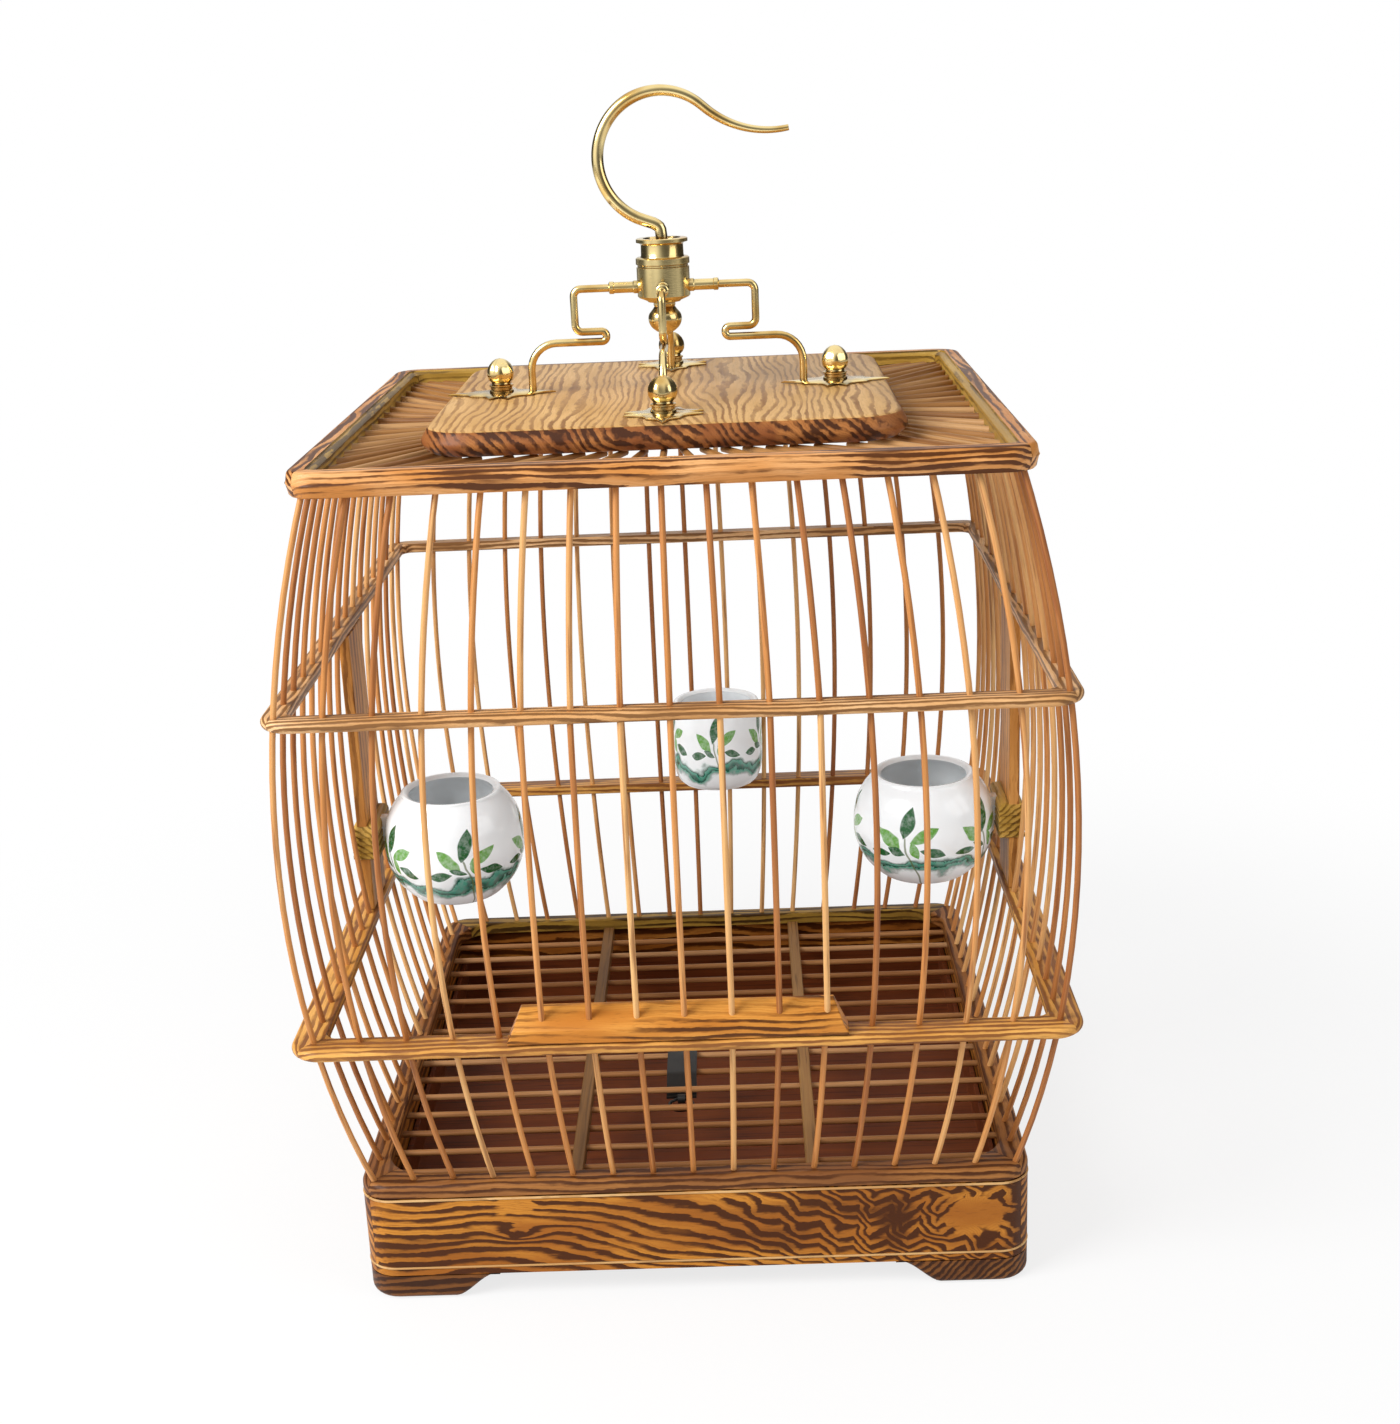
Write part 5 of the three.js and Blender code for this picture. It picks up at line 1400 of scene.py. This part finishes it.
@dataclass
class Hanger(Assembly):
    """The brass hanger: plates, finials, wire legs, hub, nut and swivelling hook.

    Attributes:
        foot_reach: Distance of the legs' feet from the middle.
        finial_reach: Distance of the finials.
        hub_level: Height of the hub's arms.
        bore: Radius of the hole that the hook's shank turns in.
        wire: Radius of a leg's wire.
        hook_radius: Radius of the hook's round part.
        tip_radius: Radius of the turn towards its tip.
        hook_thick: Radius of the hook's rod.
    """

    foot_reach: float = 62.45
    finial_reach: float = 76.95
    hub_level: float = 428.5
    bore: float = 3.05
    wire: float = 1.75
    hook_radius: float = 28.5
    tip_radius: float = 45.0
    hook_thick: float = 2.7

    @staticmethod
    def plate() -> Shape:
        """Returns a leaf-shaped plate with cusps, about its own middle."""
        cusps = [(25.0, 0.0), (14.0, 7.0), (4.2, 17.0), (-4.2, 17.0), (-14.0, 7.0), (-25.0, 0.0)]
        depths = [0.16, 0.22, 0.32, 0.22, 0.16]
        half = []
        for start, end, depth in zip(np.array(cusps), np.array(cusps[1:]), depths):
            for t in np.arange(8) / 8:
                half.append((start + (end - start) * t) * (1 - depth * math.sin(math.pi * t)))
        outline = np.concatenate([half, -np.array(half)])
        levels = [(1.0, 0.0), (1.0, 0.55), (0.93, 1.0)]
        return loft(np.array([[[y * size, x * size, z] for x, y in outline] for size, z in levels]))

    @staticmethod
    def lobes(angle: float, height: float) -> float:
        """Returns the ball's share of its radius, lobed over its upper half."""
        swell = min(max((height - 5.5) / 4, 0.0), 1.0)
        return 1 - swell * 0.1 * (1 - abs(math.cos(3 * angle)))

    def finial(self) -> Shape:
        """Returns a finial that stands on its plate."""
        profile = [(0, -13.2), (2.0, -13.2), (2.0, -0.2), (5.6, -0.2), (5.6, 1.0), (5.0, 1.4),
                   (5.0, 2.6), (5.5, 3.0), (5.5, 3.5), (4.4, 4.0), (4.3, 4.6), (5.4, 5.6),
                   (6.2, 7.2), (6.4, 9.0), (6.1, 10.8), (5.2, 12.6), (3.8, 14.1), (2.2, 15.1),
                   (0, 15.6)]
        return lathe(profile, 36, self.lobes)

    def leg(self) -> Shape:
        """Returns the front leg, bent from one wire."""
        shoulder, elbow, knee = ROOF_TOP + 22.6, 41.28, 27.17
        corners = [(17.0, self.hub_level, 0), (elbow, self.hub_level, 3.4),
                   (elbow, shoulder + 4.6, 3.4), (knee, shoulder + 4.6, 2.2),
                   (knee, shoulder, 2.2), (self.foot_reach, shoulder, 12.0),
                   (self.foot_reach, 368.0, 0)]
        path = [[0, -reach, height] for reach, height in bent_line(corners)]
        return tube(path, self.wire, 14, up=(1, 0, 0))

    def hub(self) -> Shape:
        """Returns the turned hub with its four arms."""
        low, high, bore = self.hub_level - 4.7, self.hub_level + 13, self.bore
        profile = [(bore, low - 2.2), (7.4, low - 2.2), (7.8, low - 1.7), (11.4, low - 0.2),
                   (12.0, low + 0.5), (12.0, high - 4.4), (11.5, high - 4.1), (11.5, high - 3.4),
                   (12.2, high - 3.0), (12.2, high - 0.5), (11.6, high), (10.0, high + 0.1),
                   (9.7, high + 0.8), (9.6, high + 5.6), (10.2, high + 6.2), (11.7, high + 6.6),
                   (11.7, high + 8.0), (11.2, high + 8.3), (8.6, high + 8.3), (8.2, high + 7.0),
                   (bore, high + 7.0)]
        radii = [2.9, 2.9, 2.5, 2.5, 2.8, 2.8, 2.2]
        reaches = [8.0, 13.5, 14.0, 22.6, 22.8, 24.6, 25.0]
        path = [[0, -reach, self.hub_level] for reach in reaches]
        arm = tube(path, radii, 16, up=(1, 0, 0))
        return joined([lathe(profile, 56), *[arm.turned(side) for side in Side]])

    def nut(self) -> Shape:
        """Returns the ball nut under the hub."""
        top, hole = self.hub_level - 7.2, 9.6
        ball = smooth_line([(4.0, -13.1), (6.4, -11.0), (7.6, -8.2), (7.3, -5.4), (5.6, -3.2),
                            (4.7, -1.9)], 4)
        profile = [(0.0, top - 13.4), *[(radius, top + rise) for radius, rise in ball],
                   (5.0, top - 1.2), (5.0, top), (self.bore, top), (self.bore, top - hole),
                   (0.0, top - hole)]
        return lathe(profile, 44)

    def hook(self) -> Shape:
        """Returns the hook, forged flatter towards its tip."""
        hub_top = self.hub_level + 21.3
        centre = np.array([1.5, hub_top + 35])
        start, turnover, sweep = 4.4, 0.84, 0.91
        tip_start = turnover + math.pi
        tip_centre = centre + (self.hook_radius + self.tip_radius) * heading(turnover)
        loop = [centre + self.hook_radius * heading(t) for t in np.linspace(start, turnover, 30)]
        tip = [tip_centre + self.tip_radius * heading(t)
               for t in np.linspace(tip_start, tip_start + sweep, 14)[1:]]
        root = [(0.0, 411.9), (0.0, 430.0), (0.0, hub_top + 1.0), (-1.7, hub_top + 5.5)]
        line = smooth_line([[x, 0, z] for x, z in [*root, *loop, *tip]], 3)
        along = np.linspace(0, 1, len(line))
        thick = self.hook_thick * (1 - 0.5 * np.clip(2 * along - 1, 0, 1))
        return tube(line, thick, 20, flat=0.92)

    def build(self) -> None:
        """Makes the hanger's pieces."""
        plate = self.plate().moved((0, -self.finial_reach, ROOF_TOP + 0.3))
        finial = self.finial().moved((0, -self.finial_reach, ROOF_TOP + 1.3))
        pieces = [("leaf_plate", plate, "finial"), ("ball_finial", finial, "finial"),
                  ("wire_leg", self.leg(), "hanger_leg")]
        for side in Side:
            for name, shape, node in pieces:
                self.place(f"{side.word}_{name}", shape.turned(side), BRASS, Slot.BRASS,
                           f"{node}_{side.word}")
        self.place("turned_hub", self.hub(), BRASS, Slot.BRASS, "hub")
        self.place("ball_nut", self.nut(), BRASS, Slot.BRASS, "hub_nut")
        self.place("forged_hook", self.hook(), BRASS, Slot.BRASS, "hook", body=Body.HOOK, crease=60)


@dataclass
class Cups(Assembly):
    """The porcelain cups and the wooden pieces that hold them.

    Attributes:
        wall: Thickness of a cup.
        low: Underside of the grooved blocks.
        back_shift: How far the back cup hangs off the middle.
    """

    wall: float = 4.0
    low: float = 160.7
    back_shift: float = -14.0

    def cup(self, radius: float, height: float, mouth: float, shares: Pairs) -> Shape:
        """Turns a cup about its own axis.

        Args:
            radius: Its widest radius.
            height: Its height.
            mouth: Outer radius of its mouth.
            shares: Shares of radius and height from the foot up.

        Returns:
            The cup. Its grain says how far round each place is, whether it is
            outside, and its height.
        """
        outer = [(out * radius, up * height) for out, up in shares]
        outer += [(mouth, 0.965 * height), (mouth - 0.5, 0.99 * height), (mouth - 1.5, height)]
        line = smooth_line(outer, 6)
        floor, foot = 6.0, outer[0][0]
        inner = [(max(r - self.wall, 0.5), z) for r, z in line[::-1] if floor < z < 0.955 * height]
        profile = [(0.0, 1.2), (foot - 3.2, 1.2), (foot - 2.4, 0.0), *map(tuple, line),
                   (mouth - 3.2, 0.992 * height), (mouth - 4.2, 0.97 * height), *inner,
                   (foot - 3.0, 5.0), (0.0, 4.4)]
        steps = 64
        turned = lathe(profile, steps)
        x, y, up = turned.points.T
        rings = np.arange(len(x)) // steps
        around = (np.arctan2(y, x) + HALF_PI) / FULL_TURN % 1.0
        outside = (rings > 1) & (rings < len(line) + 2)
        turned.grain = np.stack([around / MM, outside / MM, up], axis=1)
        return turned

    @staticmethod
    def ear() -> Shape:
        """Returns a cup's ear for the front, from the cup's wall to its head in the slot."""
        low, high, wall, head = 164.6, 177.1, 148.4, 152.76
        neck = block((-2.5, -head - 1.2, low), (2.5, -wall, high))
        both = joined([neck, block((-5.9, -head - 2.3, low), (5.9, -head, high))])
        both.grain = both.grain * 0.0
        return both

    def holder(self) -> Shape:
        """Returns the grooved block, for the front."""
        middle, thick, half, low = 157.16, 6.3, 17.6, self.low
        levels = [(0.8, low), (0.0, low + 0.6)]
        for groove in range(3):
            start = low + 4 * (groove + 0.6)
            levels += [(0.0, start), (0.6, start + 0.35), (0.6, start + 1.05), (0.0, start + 1.4)]
        levels += [(0.0, low + 14.2), (0.3, low + 15.6), (1.0, low + 16.8), (2.2, low + 17.5),
                   (3.2, low + 17.7)]
        corners = ((1, 1), (-1, 1), (-1, -1), (1, -1))
        return loft(np.array([[[x * (half - inset), y * (thick - inset) - middle, height]
                               for x, y in corners] for inset, height in levels]))

    def build(self) -> None:
        """Makes the cups, their blocks and the posts."""
        round_shares = [(0.5, 0.0), (0.64, 0.04), (0.85, 0.18), (0.975, 0.36), (1.0, 0.54),
                        (0.95, 0.74), (0.85, 0.87)]
        tall_shares = [(0.8, 0.0), (0.9, 0.06), (0.98, 0.2), (1.0, 0.4), (1.0, 0.6), (0.985, 0.8),
                       (0.955, 0.92)]
        post = block((-16.4, -160.76, 134.1), (16.4, -155.76, 273.7)).grained((2, 0, 1)).toned(0.6)
        for side, body, foot, tall in ((Side.LEFT, Body.LEFT_CUP, 135.6, 54.6),
                                       (Side.RIGHT, Body.RIGHT_CUP, 138.4, 52.6)):
            cup = self.cup(34.4, tall, 25.0, round_shares).moved((0, -116.06, foot))
            bracket = f"cup_bracket_{side.word}"
            self.place(f"{side.word}_seed_cup", joined([cup, self.ear()]).turned(side), GLAZE,
                       Slot.PORCELAIN, f"cup_{side.word}", body=body)
            held = self.holder().toned(0.3 + 0.1 * side).turned(side)
            self.place(f"{side.word}_cup_holder", held, OLIVE, Slot.WOOD, bracket)
            self.place(f"{side.word}_cup_post", post.turned(side), POST_WOOD, Slot.WOOD, bracket,
                       eased=0.5)
        aside = (self.back_shift, 0, 0)
        cup = self.cup(24.8, 46.0, 23.6, tall_shares).moved((0, -125.66, 146.0))
        self.place("back_seed_cup", joined([cup, self.ear()]).moved(aside).turned(Side.BACK), GLAZE,
                   Slot.PORCELAIN, "cup_back", body=Body.BACK_CUP)
        self.place("back_cup_holder", self.holder().moved(aside).toned(0.2).turned(Side.BACK),
                   OLIVE, Slot.WOOD, "cup_block_back")


@dataclass
class GrilleClip(Assembly):
    """The steel strap over the grille's rods, and the ring in its curled end.

    Attributes:
        middle: How far the strap lies off the cage's middle.
        width: Width of the strap.
        thick: Its thickness.
        eye: Depth and height of the curl's middle.
        ring: Radius of the ring.
        ring_wire: Radius of its wire.
    """

    middle: float = -7.5
    width: float = 14.6
    thick: float = 1.2
    eye: tuple[float, float] = (-57.41, 46.8)
    ring: float = 5.7
    ring_wire: float = 0.8

    def strap(self) -> Shape:
        """Returns the strap, bent down at its front end and curled there."""
        above, below = 51.0, 46.2
        over, under = above + self.thick, below + self.thick
        upper = [(-56.0, under), (-49.2, under), (-47.0, under + 0.6), (-41.4, over - 0.6),
                 (-39.1, over), (-13.6, over)]
        lower = [(-13.6, above), (-39.1, above), (-41.0, above - 0.6), (-46.6, below + 0.6),
                 (-48.7, below), (-56.0, below)]
        loops = [[[self.middle + hand * self.width / 2, y, z] for y, z in upper + lower]
                 for hand in (-1, 1)]
        curl = tube([[self.middle + x, *self.eye] for x in (-1.8, -0.9, 0.9, 1.8)], 2.3, 20)
        return joined([loft(np.array(loops)), curl])

    def build(self) -> None:
        """Makes the strap and the ring."""
        self.place("steel_strap", self.strap(), STEEL, Slot.STEEL, "grille_clip")
        centre = np.array([self.middle, self.eye[0] - self.ring, self.eye[1]])
        loops = []
        for turn in np.linspace(0, FULL_TURN, 41)[:-1]:
            out, up = np.array([*heading(turn), 0]), np.array([0, 0, 1])
            section = [heading(angle) * self.ring_wire for angle in np.arange(10) * FULL_TURN / 10]
            loops.append([centre + out * (self.ring + x) + up * z for x, z in section])
        self.place("pull_ring", loft(np.array(loops), closed=True), STEEL, Slot.STEEL, "clip_ring",
                   body=Body.RING)


# Studio


@dataclass
class Studio:
    """The pale floor, the soft lamps and the camera.

    Attributes:
        place: The camera's place, in metres.
        yaw: Its turn to the right, in radians.
        pitch: Its tilt up.
        roll: Its roll.
        lens: Its focal length for a 36 mm frame.
        floor_half: Half width of the floor, in metres.
        aim: What the lamps point at.
        soft_light: Strength of the light from all round.
    """

    place: tuple[float, float, float] = (0.0301, -0.9145, 0.5149)
    yaw: float = -0.024
    pitch: float = -0.307
    roll: float = -0.043
    lens: float = 50.0
    floor_half: float = 4.0
    aim: tuple[float, float, float] = (0.0, 0.0, 0.25)
    soft_light: float = 0.44

    def build(self) -> None:
        """Sets the stage."""
        self.camera()
        self.floor()
        self.lamps()
        self.sky()
        bpy.context.scene.view_settings.view_transform = "Standard"

    def camera(self) -> None:
        """Puts the camera where the photograph was taken from."""
        level = math.cos(self.pitch)
        ahead = Vector((math.sin(self.yaw) * level, math.cos(self.yaw) * level,
                        math.sin(self.pitch)))
        right = Vector((math.cos(self.yaw), -math.sin(self.yaw), 0))
        over = right.cross(ahead)
        cos, sin = math.cos(self.roll), math.sin(self.roll)
        right, over = right * cos + over * sin, over * cos - right * sin
        made = shown("camera", bpy.data.cameras.new("camera"))
        made.data.lens = self.lens
        turn = Matrix((right, over, -ahead)).transposed().to_4x4()
        made.matrix_world = Matrix.Translation(self.place) @ turn
        bpy.context.scene.camera = made

    def floor(self) -> None:
        """Lays a white floor that keeps the cage's shadow."""
        recipe = Recipe(bpy.data.materials.new("white_floor"))
        recipe.feed(recipe.shader, {"Base Color": ink("f2f2f2"), "Roughness": 0.9})
        lit = recipe.node("ShaderNodeEmission", None, {"Color": ink("ffffff"), "Strength": 1.0})
        seen = Value(recipe, recipe.node("ShaderNodeLightPath").outputs["Is Camera Ray"])
        away = Value(recipe, recipe.vector("LENGTH", recipe.coords()))
        share = seen * away.step(0.2, 0.7, first=0.78)
        inputs = {0: share, 1: recipe.shader.outputs[0], 2: lit.outputs[0]}
        both = recipe.node("ShaderNodeMixShader", None, inputs)
        recipe.feed(recipe.nodes["Material Output"], {"Surface": both.outputs[0]})
        mesh = bpy.data.meshes.new("studio_floor")
        corners = [(x * self.floor_half, y * self.floor_half, 0)
                   for x, y in ((-1, -1), (1, -1), (1, 1), (-1, 1))]
        mesh.from_pydata(corners, [], [(0, 1, 2, 3)])
        mesh.materials.append(recipe.owner)
        shown("studio_floor", mesh)

    def lamps(self) -> None:
        """Hangs two soft lamps."""
        for name, place, size, power in (("left_softbox", (-1.3, -0.9, 1.4), 1.0, 41.0),
                                         ("right_softbox", (1.5, -0.8, 1.0), 1.2, 7.0)):
            lamp = shown(name, bpy.data.lights.new(name, "AREA"))
            lamp.data.shape, lamp.data.size, lamp.data.energy = "SQUARE", size, power
            lamp.location = place
            towards = Vector(self.aim) - Vector(place)
            lamp.rotation_euler = towards.to_track_quat("-Z", "Y").to_euler()

    @staticmethod
    def dimmed(recipe: Recipe, direction: Point, reach: tuple[float, float], least: float) -> Value:
        """Gives 1 all round, falling off towards one direction.

        Args:
            recipe: The sky's nodes.
            direction: Where it is darkest.
            reach: Where the fall starts and ends, as cosines.
            least: What is left there.

        Returns:
            The result.
        """
        towards = recipe.vector("DOT_PRODUCT", recipe.coords("Generated"), direction)
        return Value(recipe, towards).step(*reach, last=least, first=1.0)

    def sky(self) -> None:
        """Gives soft light from all round, white where it is seen."""
        world = bpy.data.worlds.new("studio_sky")
        recipe = Recipe(world, "Background")
        path = recipe.node("ShaderNodeLightPath").outputs
        seen, through, mirrored, scattered = (
            Value(recipe, path[f"Is {kind} Ray"])
            for kind in ("Camera", "Transmission", "Glossy", "Diffuse")
        )
        mirrored = mirrored * self.dimmed(recipe, (0.5, -0.85, 0.05), (0.45, 0.98), 0.12)
        for hand in (-1, 1):
            flag = self.dimmed(recipe, (hand * 0.83, 0.55, -0.05), (0.5, 0.9), 0.05)
            mirrored = mirrored * flag
        strength = seen.maths("MAXIMUM", through).maths("MAXIMUM", mirrored)
        strength = strength.maths("MAXIMUM", scattered * self.soft_light)
        recipe.feed(recipe.shader, {"Strength": strength, "Color": ink("ffffff")})
        bpy.context.scene.world = world


def main() -> None:
    """Builds the cage and its stage."""
    logging.basicConfig(level=logging.INFO, format="%(name)s: %(message)s")
    paints = Paintbox()
    for kind in (Frames, Feet, Bars, LiftDoor, FloorAndTray, Roof, Hanger, Cups, GrilleClip):
        kind(paints).build()
    Studio().build()
    LOG.info("sizes written")


if __name__ == "__main__":
    main()
